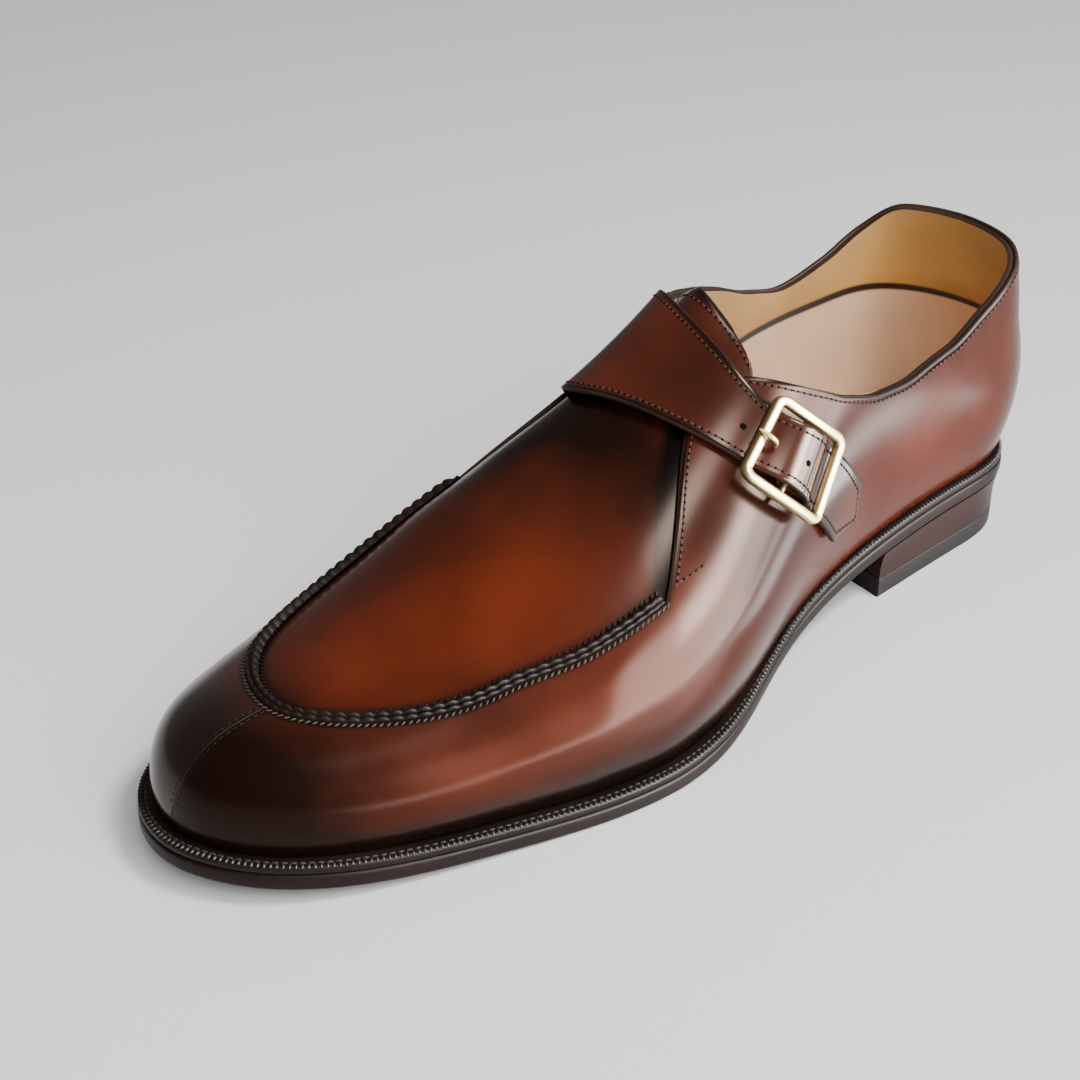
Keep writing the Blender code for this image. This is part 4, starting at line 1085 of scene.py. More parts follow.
def reckon(tree, operation, *values, clamp=False):
    """A number from one or two others."""
    values = dict(enumerate(values))
    return add(tree, "ShaderNodeMath", values, operation=operation, use_clamp=clamp).outputs[0]


def ramp(tree, value, low, high, start=0.0, end=1.0):
    """A smooth step of a value from low to high."""
    values = {"Value": value, "From Min": low, "From Max": high, "To Min": start, "To Max": end}
    return add(tree, "ShaderNodeMapRange", values, interpolation_type="SMOOTHSTEP").outputs[0]


def noise(tree, place, scale, detail, **sockets):
    """A noise over a place."""
    values = {"Vector": place, "Scale": scale, "Detail": detail, **sockets}
    return add(tree, "ShaderNodeTexNoise", values).outputs[0]


def new_group(name, inputs, outputs):
    """An empty shader group with named sockets."""
    tree = bpy.data.node_groups.new(name, "ShaderNodeTree")
    for label, kind, value in inputs:
        socket = tree.interface.new_socket(label, in_out="INPUT", socket_type="NodeSocket" + kind)
        if value is not None:
            socket.default_value = value
    for label, kind in outputs:
        tree.interface.new_socket(label, in_out="OUTPUT", socket_type="NodeSocket" + kind)
    return tree, tree.nodes.new("NodeGroupInput").outputs, tree.nodes.new("NodeGroupOutput")


def soft_spot_group():
    """A mask that is one at a place of the shoe and falls away softly around it."""
    names = ("Along", "Around", "Centre Along", "Centre Around", "Reach Along", "Reach Around")
    inputs = [(name, "Float", 0.1) for name in names]
    tree, given, result = new_group("soft_spot", inputs, [("Mask", "Float")])
    squares = []
    for value, centre, reach in ((0, 2, 4), (1, 3, 5)):
        gap = reckon(tree, "DIVIDE", reckon(tree, "SUBTRACT", given[value], given[centre]), given[reach])
        squares.append(reckon(tree, "POWER", reckon(tree, "ABSOLUTE", gap), 2.0))
    total = reckon(tree, "ADD", *squares)
    tree.links.new(reckon(tree, "POWER", math.exp(-1), total), result.inputs[0])
    return tree


def grain_group():
    """Leather's fine grain as a height, and a slow mottle."""
    tree, given, result = new_group(
        "leather_grain", [("Vector", "Vector", None), ("Scale", "Float", 900.0), ("Wrinkle", "Float", 0.3)],
        [("Height", "Float"), ("Mottle", "Float")],
    )
    values = {"Vector": given[0], "Scale": given[1]}
    cells = add(tree, "ShaderNodeTexVoronoi", values, feature="SMOOTH_F1").outputs[0]
    fine = noise(tree, given[0], reckon(tree, "MULTIPLY", given[1], 0.35), 3.0)
    broad = noise(tree, given[0], 95.0, 2.0)
    height = reckon(tree, "ADD", reckon(tree, "MULTIPLY", cells, 0.5), reckon(tree, "MULTIPLY", fine, 0.5))
    height = reckon(tree, "ADD", height, reckon(tree, "MULTIPLY", broad, given[2]))
    tree.links.new(height, result.inputs[0])
    slow = noise(tree, given[0], 30.0, 3.0, Roughness=0.5)
    tree.links.new(slow, result.inputs[1])
    return tree


def new_look(name):
    """A material's tree, its shader and its Object coordinates."""
    look = bpy.data.materials.new(name)
    look.use_nodes = True
    tree = look.node_tree
    shader = tree.nodes["Principled BSDF"]
    place = add(tree, "ShaderNodeTexCoord").outputs["Object"]
    return look, tree, shader, place


def grouped(tree, group, values):
    """A group placed in a tree with its own values."""
    return add(tree, "ShaderNodeGroup", values, node_tree=bpy.data.node_groups[group]).outputs


def bumped(tree, shader, height, strength, distance):
    """Feeds a height to the shader's normal."""
    bump = add(tree, "ShaderNodeBump", {"Height": height, "Strength": strength, "Distance": distance})
    tree.links.new(bump.outputs[0], shader.inputs["Normal"])


def patina(name, spots, edge_dark=(0.2, 1.8, 0.6), base=0.55, shadow_band=None, shine=1.32, polish=0.0):
    """Polished calf: dark, middle and bright layers laid in soft spots, darker along the cut edges.

    spots: (layer, strength, along, around, reach along, reach around); layer 1 is bright, -1 dark.
    edge_dark: where the dark edge ends, in mm, and its strength; shine: index of the polish. shadow_band: a
    painted shadow, near black, along the edge of the piece that lies over this one: where it starts and ends,
    in mm, and the share along behind which it is painted.
    """
    looks = bpy.context.scene.shoe_leather
    look, tree, shader, place = new_look(name)
    along = add(tree, "ShaderNodeAttribute", attribute_name="share").outputs["Fac"]
    around = add(tree, "ShaderNodeAttribute", attribute_name="turn").outputs["Fac"]
    edge = add(tree, "ShaderNodeAttribute", attribute_name="edge").outputs["Fac"]
    grains = grouped(tree, "leather_grain", {"Vector": place, "Scale": 2000.0, "Wrinkle": 0.3})
    glow, shade = 0.0, 0.0
    for layer, strength, *where in spots:
        values = {"Along": along, "Around": around}
        values.update(dict(zip(("Centre Along", "Centre Around", "Reach Along", "Reach Around"), where)))
        mask = reckon(tree, "MULTIPLY", grouped(tree, "soft_spot", values)[0], strength)
        if layer > 0:
            glow = reckon(tree, "ADD", mask, glow)
        else:
            shade = reckon(tree, "ADD", mask, shade)
    near = ramp(tree, edge, *edge_dark, 0.0)
    shade = reckon(tree, "ADD", shade, near)
    mottle = ramp(tree, grains[1], 0.25, 0.75, -0.11, 0.11)
    glow = reckon(tree, "ADD", glow, mottle, clamp=True)
    shade = reckon(tree, "SUBTRACT", reckon(tree, "ADD", shade, 1 - base), mottle, clamp=True)
    color = blended(tree, glow, looks.middle, looks.bright)
    color = blended(tree, shade, color, looks.dark)
    # Painted shadow: a near-black strip beside the overlying quarter's edge, where that edge's shadow falls.
    if shadow_band is not None:
        near, far, start = shadow_band
        across = ramp(tree, edge, near, far, 1.0, 0.0)
        black = reckon(tree, "MULTIPLY", across, ramp(tree, along, start, start + 0.01, 1.0, 0.0))
        color = blended(tree, black, color, (0.0015, 0.001, 0.001))
    tree.links.new(color, shader.inputs["Base Color"])
    rough = looks.roughness - polish
    tree.links.new(ramp(tree, grains[1], 0.2, 0.8, rough - 0.03, rough + 0.05), shader.inputs["Roughness"])
    shader.inputs["IOR"].default_value = shine
    shader.inputs["Specular Tint"].default_value = (1.0, 0.74, 0.62, 1)
    bumped(tree, shader, grains[0], 0.11, 0.05 * MM)
    return look


def plain_look(name):
    """A plain look from the table."""
    return plain_leather(name, *PLAIN_LOOKS[name])


def plain_leather(name, color, darker, roughness, scale, grain):
    """A leather of one colour with a mottle between two shades."""
    look, tree, shader, place = new_look(name)
    grains = grouped(tree, "leather_grain", {"Vector": place, "Scale": scale, "Wrinkle": 0.4})
    share = ramp(tree, grains[1], 0.3, 0.7)
    tree.links.new(blended(tree, share, darker, color), shader.inputs["Base Color"])
    rough = ramp(tree, grains[1], 0.2, 0.8, roughness - 0.05, roughness + 0.08)
    tree.links.new(rough, shader.inputs["Roughness"])
    shader.inputs["IOR"].default_value = 1.20
    bumped(tree, shader, grains[0], grain, 0.06 * MM)
    return look


def metal(name, color, roughness):
    """Polished brass with faint rubbed marks."""
    look, tree, shader, place = new_look(name)
    stretch = add(tree, "ShaderNodeMapping", {"Vector": place, "Scale": (1.0, 1.0, 4.0)}).outputs[0]
    marks = noise(tree, stretch, 700.0, 4.0)
    worn = noise(tree, place, 160.0, 3.0)
    rubbed = blended(tree, ramp(tree, worn, 0.3, 0.75), color, tuple(c * 0.72 for c in color))
    tree.links.new(rubbed, shader.inputs["Base Color"])
    tree.links.new(ramp(tree, worn, 0.2, 0.8, roughness - 0.05, roughness + 0.12), shader.inputs["Roughness"])
    shader.inputs["Metallic"].default_value = 1.0
    bumped(tree, shader, marks, 0.05, 0.03 * MM)
    return look


def dress(piece, looks, nodes=()):
    """Gives a piece its finishes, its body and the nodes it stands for."""
    for look in looks:
        piece.data.materials.append(look)
    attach(piece, "root")
    if nodes:
        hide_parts(*nodes)


# Stitches


def stitch_tree():
    """Stitches, marks or ribs along a line that keeps its own up direction."""
    tree = bpy.data.node_groups.new("stitch_row", "GeometryNodeTree")
    face = tree.interface
    face.new_socket("Geometry", in_out="INPUT", socket_type="NodeSocketGeometry")
    for label, kind in (
        ("Spacing", "Float"), ("Length", "Float"), ("Width", "Float"), ("Height", "Float"),
        ("Slant", "Float"), ("Wobble", "Float"), ("Seed", "Int"), ("Thread", "Material"),
    ):
        face.new_socket(label, in_out="INPUT", socket_type="NodeSocket" + kind)
    face.new_socket("Geometry", in_out="OUTPUT", socket_type="NodeSocketGeometry")
    given = tree.nodes.new("NodeGroupInput").outputs
    line = add(tree, "GeometryNodeMeshToCurve", {"Mesh": given["Geometry"]}).outputs[0]
    values = {"Curve": line, "Length": given["Spacing"]}
    spaced = add(tree, "GeometryNodeResampleCurve", values, mode="LENGTH")
    ball = add(tree, "GeometryNodeMeshUVSphere", {"Segments": 10, "Rings": 6, "Radius": 0.5}).outputs[0]
    values = {0: given["Length"], 1: given["Width"], 2: given["Height"]}
    sizes = add(tree, "ShaderNodeCombineXYZ", values).outputs[0]
    thread = add(tree, "GeometryNodeTransform", {"Geometry": ball, "Scale": sizes}).outputs[0]
    tangent = add(tree, "GeometryNodeInputTangent").outputs[0]
    up = add(tree, "GeometryNodeInputNamedAttribute", {"Name": "up"}, data_type="FLOAT_VECTOR").outputs[0]
    first = add(tree, "FunctionNodeAlignRotationToVector", {"Vector": tangent}, axis="X").outputs[0]
    values = {"Rotation": first, "Vector": up}
    turned = add(tree, "FunctionNodeAlignRotationToVector", values, axis="Z", pivot_axis="X").outputs[0]
    low = add(tree, "ShaderNodeMath", {0: given["Wobble"], 1: -1.0}, operation="MULTIPLY").outputs[0]
    chance = add(tree, "FunctionNodeRandomValue", data_type="FLOAT")
    tree.links.new(low, chance.inputs[2])
    tree.links.new(given["Wobble"], chance.inputs[3])
    tree.links.new(given["Seed"], chance.inputs["Seed"])
    angle = add(tree, "ShaderNodeMath", {0: given["Slant"], 1: chance.outputs[1]}, operation="ADD").outputs[0]
    spin = add(tree, "ShaderNodeCombineXYZ", {2: angle}).outputs[0]
    spin = add(tree, "FunctionNodeEulerToRotation", {0: spin}).outputs[0]
    turned = add(tree, "FunctionNodeRotateRotation", {0: turned, 1: spin}, rotation_space="LOCAL").outputs[0]
    values = {"Points": spaced.outputs[0], "Instance": thread, "Rotation": turned}
    placed = add(tree, "GeometryNodeInstanceOnPoints", values).outputs[0]
    real = add(tree, "GeometryNodeRealizeInstances", {"Geometry": placed}).outputs[0]
    real = add(tree, "GeometryNodeSetShadeSmooth", {"Geometry": real}).outputs[0]
    real = add(tree, "GeometryNodeSetMaterial", {"Geometry": real, "Material": given["Thread"]}).outputs[0]
    result = tree.nodes.new("NodeGroupOutput")
    tree.links.new(real, result.inputs[0])
    return tree


def stitch_row(name, lines, look, spacing, length, width, height, slant=0.0, wobble=0.03, slot=None):
    """One piece of stitches along lines, each a pair of points and their ups."""
    points, ups, edges = [], [], []
    for line, up in lines:
        first = len(points)
        points += [tuple(point) for point in line]
        ups += [tuple(direction) for direction in up]
        edges += [(first + i, first + i + 1) for i in range(len(line) - 1)]
    mesh = bpy.data.meshes.new(name + "_line")
    mesh.from_pydata(points, edges, [])
    field = mesh.attributes.new("up", "FLOAT_VECTOR", "POINT")
    field.data.foreach_set("vector", np.array(ups, np.float32).ravel())
    guide = bpy.data.objects.new(name + "_line", mesh)
    bpy.context.scene.collection.objects.link(guide)
    tree = bpy.data.node_groups.get("stitch_row") or stitch_tree()
    rows = guide.modifiers.new("stitches", "NODES")
    rows.node_group = tree
    values = {
        "Spacing": spacing, "Length": length, "Width": width, "Height": height, "Slant": slant,
        "Wobble": wobble, "Seed": bpy.context.scene.shoe_stitches.seed, "Thread": look,
    }
    for item in tree.interface.items_tree:
        if item.in_out == "INPUT" and item.name in values:
            rows[item.identifier] = values[item.name]
    graph = bpy.context.evaluated_depsgraph_get()
    made = bpy.data.objects.new(name, bpy.data.meshes.new_from_object(guide.evaluated_get(graph)))
    made.data.name = name
    bpy.context.scene.collection.objects.link(made)
    bpy.data.objects.remove(guide)
    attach(made, "root")
    return made


def between(points, ups, step):
    """A stitch line cut so that the same spacing falls between its stitches."""
    lengths = np.concatenate(([0], np.cumsum(np.linalg.norm(np.diff(points, axis=0), axis=1))))
    stitch = lengths[-1] / max(int(lengths[-1] / step), 1)
    inner = (lengths > stitch / 2) & (lengths < lengths[-1] - stitch / 2)
    at = np.concatenate(([stitch / 2], lengths[inner], [lengths[-1] - stitch / 2]))
    cut = [np.interp(at, lengths, column) for column in (*np.asarray(points).T, *np.asarray(ups).T)]
    return np.stack(cut[:3], 1), np.stack(cut[3:], 1)


def along_places(places, depth):
    """Points and ups along places at a depth."""
    places = np.array(places)
    return skin(places, np.full(len(places), float(depth))), normal(*places.T)


def inset_line(points, ups, inset, side):
    """A line moved within the surface, to its left or right."""
    runs = np.gradient(points, axis=0)
    out = np.cross(runs, ups) * side
    out /= np.linalg.norm(out, axis=1)[:, None]
    return points + out * inset, ups


def resampled(places, step):
    """Places spaced evenly by their distance on the last."""
    places = np.array(places, float)
    points = surface(*places.T)
    run = np.concatenate(([0], np.cumsum(np.linalg.norm(np.diff(points, axis=0), axis=1))))
    at = np.linspace(0, run[-1], max(int(round(run[-1] / step)), 2) + 1)
    return np.stack([np.interp(at, run, places[:, k]) for k in (0, 1)], 1), at


def seam_route(step):
    """The apron seam's places, from the outer facing round the toe to the inner one."""
    low, high = SEAM_START - 1e-6, SEAM_FRONT + 1e-6
    girths = [girth for girth in fine_girths() if low <= place_share(girth) <= high]
    route = [(girth, top_edge(girth, 1)) for girth in girths]
    route += [(girth, top_edge(girth, -1)) for girth in reversed(girths[:-1])]
    return resampled(route, step)


def seam_frame(step):
    """Points on the upper along the apron seam, their ups, the way inward and the run."""
    places, run = seam_route(step)
    points = skin(places, np.full(len(places), UPPER_OUTSIDE + CLEARANCE))
    ups = normal(*places.T)
    inward = np.cross(np.gradient(points, axis=0), ups)
    inward /= np.linalg.norm(inward, axis=1)[:, None]
    return points, ups, inward, run


def apron_bead():
    """The raised seam: the wall's lip and the apron's lip drawn together, pinched at each stitch."""
    points, ups, inward, run = seam_frame(0.4 * MM)
    pinch = (0.5 + 0.5 * np.cos(2 * math.pi * run / SEAM_STITCH)) ** 2
    ends = np.clip(np.minimum(run, run[-1] - run) / (4 * MM), 0.25, 1) ** 0.5
    rings = []
    for point, up, inner, tight, end in zip(points, ups, inward, pinch, ends):
        wide = SEAM_WIDTH * (1 - 0.10 * tight)
        high = SEAM_RISE * (1 - 0.20 * tight) * end
        ring = [point + inner * CLEARANCE]
        for across, rise in zip(BEAD_ACROSS, BEAD_RISE):
            ring.append(point + inner * (CLEARANCE + across * wide) + up * rise * high)
        rings.append(ring)
    return swept("apron_bead", rings)


def fine_wire(name, route, radii, closed=False, sides=16, square=2.0):
    """A bar along a route; square over two flattens its faces."""
    route = np.array(route)
    up = normal(*np.array(strap_place(BUCKLE_PLACE, 0.5)))
    rings = []
    for i, point in enumerate(route):
        ahead = route[(i + 1) % len(route)] if closed or i + 1 < len(route) else point
        behind = route[i - 1] if closed or i else point
        run = (ahead - behind) / np.linalg.norm(ahead - behind)
        side = np.cross(run, up)
        if np.linalg.norm(side) < 0.2:
            side = np.cross(run, route[0] - buckle_point(0, 0, 0))
        side /= np.linalg.norm(side)
        high = np.cross(side, run)
        ring = []
        for turn in np.linspace(0, 2 * math.pi, sides, endpoint=False):
            c, s = math.cos(turn), math.sin(turn)
            reach = (abs(c) ** square + abs(s) ** square) ** (-1 / square)
            ring.append(point + radii[i] * reach * (side * c + high * s))
        rings.append(ring)
    return swept(name, rings, closed)


def smoothed(route, count):
    """A smooth line through a route's points, spaced evenly."""
    route = np.array(route, float)
    run = np.concatenate(([0], np.cumsum(np.linalg.norm(np.diff(route, axis=0), axis=1))))
    return cardinal(run, np.linspace(0, run[-1], count)) @ route


def frame_pieces():
    """The buckle's frame and its bar."""
    half_length, half_span = BUCKLE_LENGTH / 2 - BUCKLE_WIRE, BUCKLE_SPAN / 2 - BUCKLE_WIRE
    route = []
    for quadrant, (a_side, b_side) in enumerate(((1, 1), (-1, 1), (-1, -1), (1, -1))):
        for step in range(9):
            angle = math.radians(90 * quadrant + 11.25 * step)
            a = a_side * (half_length - FRAME_CORNER) + FRAME_CORNER * math.cos(angle)
            b = b_side * (half_span - FRAME_CORNER) + FRAME_CORNER * math.sin(angle)
            route.append((a, b))
        near = route[-1]
        b_next = ((-1, 1), (-1, -1), (1, -1), (1, 1))[quadrant]
        if quadrant in (0, 2):
            far = (b_next[0] * (half_length - FRAME_CORNER), near[1])
        else:
            far = (near[0], b_next[1] * (half_span - FRAME_CORNER))
        for share in np.linspace(0, 1, 14)[1:-1]:
            route.append(tuple(np.array(near) * (1 - share) + np.array(far) * share))
    points = [buckle_point(a, b, FRAME_DEPTH) for a, b in route]
    radii = [FRAME_SWELL * BUCKLE_WIRE] * len(points)
    loop = fine_wire("buckle_loop", points, radii, closed=True, sides=20, square=FRAME_SQUARE)
    reach = ((-1.0, FRAME_DEPTH), (-0.93, BAR_DEPTH), (-0.4, BAR_DEPTH), (0.0, BAR_DEPTH))
    reach += tuple((-a, depth) for a, depth in reach[2::-1])
    points = smoothed([buckle_point(0, b * half_span, depth) for b, depth in reach], 40)
    bar = fine_wire("buckle_bar", points, [BAR_WIRE] * len(points))
    return loop, bar


def prong_piece():
    """The prong: hooked round the bar, up through the strap's hole, its tip on the frame."""
    ring = BAR_WIRE + CLEARANCE + PRONG_WIRE
    top = FRAME_DEPTH + BUCKLE_WIRE + CLEARANCE + PRONG_WIRE
    route = []
    for angle in (-40, 0, 40, 80, 115):
        route.append((ring * math.cos(math.radians(angle)), BAR_DEPTH + ring * math.sin(math.radians(angle))))
    route += [
        (-2.8 * MM, BAR_DEPTH + 0.6 * ring),
        (-HOLE_LEAD + 2.0 * MM, BAR_DEPTH),
        (-HOLE_LEAD + 0.4 * MM, BAR_DEPTH + 0.1 * ring),
        (-HOLE_LEAD - 0.2 * MM, FRAME_DEPTH - 0.9 * MM),
        (-HOLE_LEAD - 0.6 * MM, FRAME_DEPTH + 0.7 * MM),
        (-HOLE_LEAD - 1.6 * MM, top),
        (-BUCKLE_LENGTH / 2 + BUCKLE_WIRE, top + 0.1 * MM),
        (-BUCKLE_LENGTH / 2 - 0.4 * MM, top + 0.1 * MM),
    ]
    points = smoothed([buckle_point(a, 0, d) for a, d in route], 70)
    tip = [PRONG_WIRE * share for share in (1.12, 1.08, 1.03, 0.97, 0.88, 0.76, 0.6, 0.35)]
    radii = [PRONG_WIRE * PRONG_SWELL] * (len(points) - len(tip)) + tip
    return fine_wire("prong_wire", points, radii, sides=14)


def tab_piece():
    """The tab on the outer quarter, folded round the bar, with a slot for the prong."""
    low = QUARTER_RISE + CLEARANCE + TAB_THICKNESS / 2
    fold = BAR_WIRE + CLEARANCE + TAB_THICKNESS / 2
    route = [(TAB_TAIL, low), (TAB_TAIL * 2 / 3, low), (TAB_RETURN / 2, low)]
    for angle in np.linspace(-90, -270, 13):
        route.append((fold * math.cos(math.radians(angle)), BAR_DEPTH + fold * math.sin(math.radians(angle))))
    route += [(TAB_RETURN / 2, BAR_DEPTH + 0.75 * fold), (TAB_RETURN, low + TAB_THICKNESS + CLEARANCE)]
    half = np.linspace(TAB_SLOT / 2, TAB_WIDTH / 2, 5)
    widths = np.concatenate((-half[::-1], half))
    slot = range(2, len(route) - 2)
    points, faces = [], []
    for side in (1, -1):
        for i, (a, d) in enumerate(route):
            ahead, behind = route[min(i + 1, len(route) - 1)], route[max(i - 1, 0)]
            run = math.hypot(ahead[0] - behind[0], ahead[1] - behind[1])
            out = ((ahead[1] - behind[1]) / run, -(ahead[0] - behind[0]) / run)
            shift = side * TAB_THICKNESS / 2
            points += [buckle_point(a + out[0] * shift, b, d + out[1] * shift) for b in widths]
    wide, under = len(widths), len(route) * len(widths)
    edges = {}
    for i in range(len(route) - 1):
        for k in range(wide - 1):
            if k == 4 and i in slot:
                continue
            ids = [i * wide + k, (i + 1) * wide + k, (i + 1) * wide + k + 1, i * wide + k + 1]
            faces += [ids, [under + n for n in reversed(ids)]]
            for pair in zip(ids, ids[1:] + ids[:1]):
                edges.setdefault(frozenset(pair), []).append(pair)
    for pairs in edges.values():
        if len(pairs) == 1:
            a, b = pairs[0]
            faces.append([b, a, under + a, under + b])
    return finish_mesh("tab_leather", points, faces)


def strap_line(inset):
    """The stitch line round the strap: its rear edge, its tip and its front edge."""
    alongs = np.linspace(0.05, 0.985, 120)
    tip = np.array((STRAP_POINT[0] * LAST_LENGTH, STRAP_POINT[1]))
    places, depths = [], []
    for side, order in ((0, alongs), (1, alongs[::-1])):
        for along in order:
            ends = surface(*np.array([strap_place(along, 0.0), strap_place(along, 1.0)]).T)
            share = inset / np.linalg.norm(ends[1] - ends[0])
            places.append(strap_place(along, share if side == 0 else 1 - share))
            depths.append(strap_height(along) + STRAP_THICKNESS)
        if side == 0:
            middle = np.array(strap_place(1.0, 0.5))
            length = np.linalg.norm(surface(*tip) - surface(*middle))
            places.append(tuple(tip + (middle - tip) * min(1.25 * inset / length, 0.8)))
            depths.append(strap_height(1.0) + STRAP_THICKNESS)
    places = np.array(places)
    return skin(places, np.array(depths)), normal(*places.T)


def tongue_line():
    """The stitch line inside the tongue's top edge."""
    across = np.linspace(0.03, 0.97, 60)
    places, _ = tongue_row(TONGUE[-1][0] + TONGUE_INSET / LAST_LENGTH, across)
    return skin(places, tongue_depth(1.0, across)), normal(*places.T)


def edge_line(side, low, high, inset, depth):
    """A stitch line inside a quarter's top edge."""
    girths = [girth for girth in fine_girths() if low <= place_share(girth) <= high]
    points, ups = along_places([(girth, top_edge(girth, side)) for girth in girths], depth)
    return inset_line(points, ups, inset, -side)


def welt_line(part, inset, rise, first):
    """A line on the welt all round, from one side's waist to the other's."""
    girths = [girth for girth in fine_girths() if place_share(girth) > first]
    points = []
    for girth, side in [(g, 1) for g in girths] + [(g, -1) for g in reversed(girths[:-1])]:
        x, y = feather_point(girth, side, sole_offset(girth) * part - inset)
        z = float(sole_height(x + HEEL_CENTRE)) + OUTSOLE_THICKNESS + WELT_THICKNESS + rise
        points.append((x, y, z))
    return np.array(points), np.tile((0.0, 0.0, 1.0), (len(points), 1))


# Operators


class BuildOperator:
    """What every piece's operator shares"""

    bl_options = {"REGISTER", "UNDO"}

    def execute(self, context):
        self.build(context)
        return {"FINISHED"}


def lining_look(looks):
    """The lining: a golden strip along the collar, natural leather below it, and a dark seam between."""
    look, tree, shader, place = new_look("lining")
    grains = grouped(tree, "leather_grain", {"Vector": place, "Scale": 700.0, "Wrinkle": 0.4})
    height = add(tree, "ShaderNodeAttribute", attribute_name="level").outputs["Fac"]
    mottle = ramp(tree, grains[1], 0.3, 0.7)
    gold = blended(tree, mottle, tuple(c * 0.74 for c in looks.lining), looks.lining)
    plain = blended(tree, mottle, tuple(c * 0.88 for c in looks.sock), looks.sock)
    color = blended(tree, ramp(tree, height, LINING_SEAM - SEAM_EDGE, LINING_SEAM + SEAM_EDGE), plain, gold)
    away = reckon(tree, "ABSOLUTE", reckon(tree, "SUBTRACT", height, LINING_SEAM))
    seam = ramp(tree, away, SEAM_EDGE, SEAM_END, 1.0, 0.0)
    tree.links.new(blended(tree, seam, color, (0.02, 0.010, 0.006)), shader.inputs["Base Color"])
    tree.links.new(ramp(tree, grains[1], 0.2, 0.8, 0.48, 0.6), shader.inputs["Roughness"])
    bumped(tree, shader, reckon(tree, "SUBTRACT", grains[0], seam), 0.3, 0.08 * MM)
    return look


class SHOE_OT_groups(BuildOperator, bpy.types.Operator):
    """Makes the shader groups that the leathers share"""

    bl_idname = "shoe.groups"
    bl_label = "Finish groups"

    def build(self, context):
        soft_spot_group()
        grain_group()


class SHOE_OT_quarters(BuildOperator, bpy.types.Operator):
    """Builds both quarters, the inner one with its strap"""

    bl_idname = "shoe.quarters"
    bl_label = "Quarters and strap"

    def build(self, context):
        flesh, edge = plain_look("flesh"), plain_look("cut_edge")
        wall = patina("outer_calf", OUTER_SPOTS, shine=1.22)
        dress(outer_quarter(), [wall, flesh, edge], ["quarter_lateral"])
        strap = patina("strap_calf", INNER_SPOTS, shine=1.38, polish=0.03)
        dress(inner_quarter(), [strap, flesh, edge], ["quarter_medial"])


class SHOE_OT_upper(BuildOperator, bpy.types.Operator):
    """Builds the apron, the counter and the lining as one shell"""

    bl_idname = "shoe.upper"
    bl_label = "Apron and lining"

    def build(self, context):
        looks = context.scene.shoe_leather
        lining = lining_look(looks)
        # The apron gets a painted near-black shadow in front of the quarters' facing edges.
        calf = patina("apron_calf", APRON_SPOTS, edge_dark=(0.5, 7.0, 0.8), shadow_band=(3.6, 5.4, 0.60), shine=1.22)
        dress(upper_shell(), [calf, lining, bpy.data.materials["cut_edge"]], ["upper"])


class SHOE_OT_tongue(BuildOperator, bpy.types.Operator):
    """Builds the tongue"""

    bl_idname = "shoe.tongue"
    bl_label = "Tongue"

    def build(self, context):
        calf = patina("tongue_calf", TONGUE_SPOTS, edge_dark=(0.3, 3.0, 0.5), base=0.32, shine=1.40)
        looks = [calf, bpy.data.materials["lining"], bpy.data.materials["cut_edge"]]
        dress(tongue_piece(), looks, ["tongue"])


class SHOE_OT_seam(BuildOperator, bpy.types.Operator):
    """Builds the raised seam round the apron"""

    bl_idname = "shoe.seam"
    bl_label = "Apron seam"

    def build(self, context):
        dress(apron_bead(), [plain_look("seam_calf")], ["apron_seam"])


class SHOE_OT_sole(BuildOperator, bpy.types.Operator):
    """Builds the outsole, the welt, the insole and the heel"""

    bl_idname = "shoe.sole"
    bl_label = "Sole, welt and heel"

    def build(self, context):
        looks = context.scene.shoe_leather
        sole, strip, inner, stack, cap = sole_pieces()
        shade = tuple(c * 0.82 for c in looks.sock)
        sock = plain_leather("sock_leather", looks.sock, shade, 0.55, 800.0, 0.3)
        dress(sole, [plain_look("sole_leather")], ["outsole"])
        dress(strip, [plain_look("welt_leather")], ["welt"])
        dress(inner, [sock], ["insole"])
        dress(stack, [plain_look("heel_leather")], ["heel_stack"])
        dress(cap, [plain_look("rubber")], ["heel_top_piece"])


class SHOE_OT_buckle(BuildOperator, bpy.types.Operator):
    """Builds the buckle, its prong and its tab"""

    bl_idname = "shoe.buckle"
    bl_label = "Buckle"

    def build(self, context):
        brass = metal("brass", (0.50, 0.39, 0.19), 0.36)
        loop, bar = frame_pieces()
        dress(loop, [brass], ["buckle_frame"])
        dress(bar, [brass])
        dress(prong_piece(), [brass], ["buckle_prong"])
        dress(tab_piece(), [plain_look("tab_calf")], ["buckle_tab"])


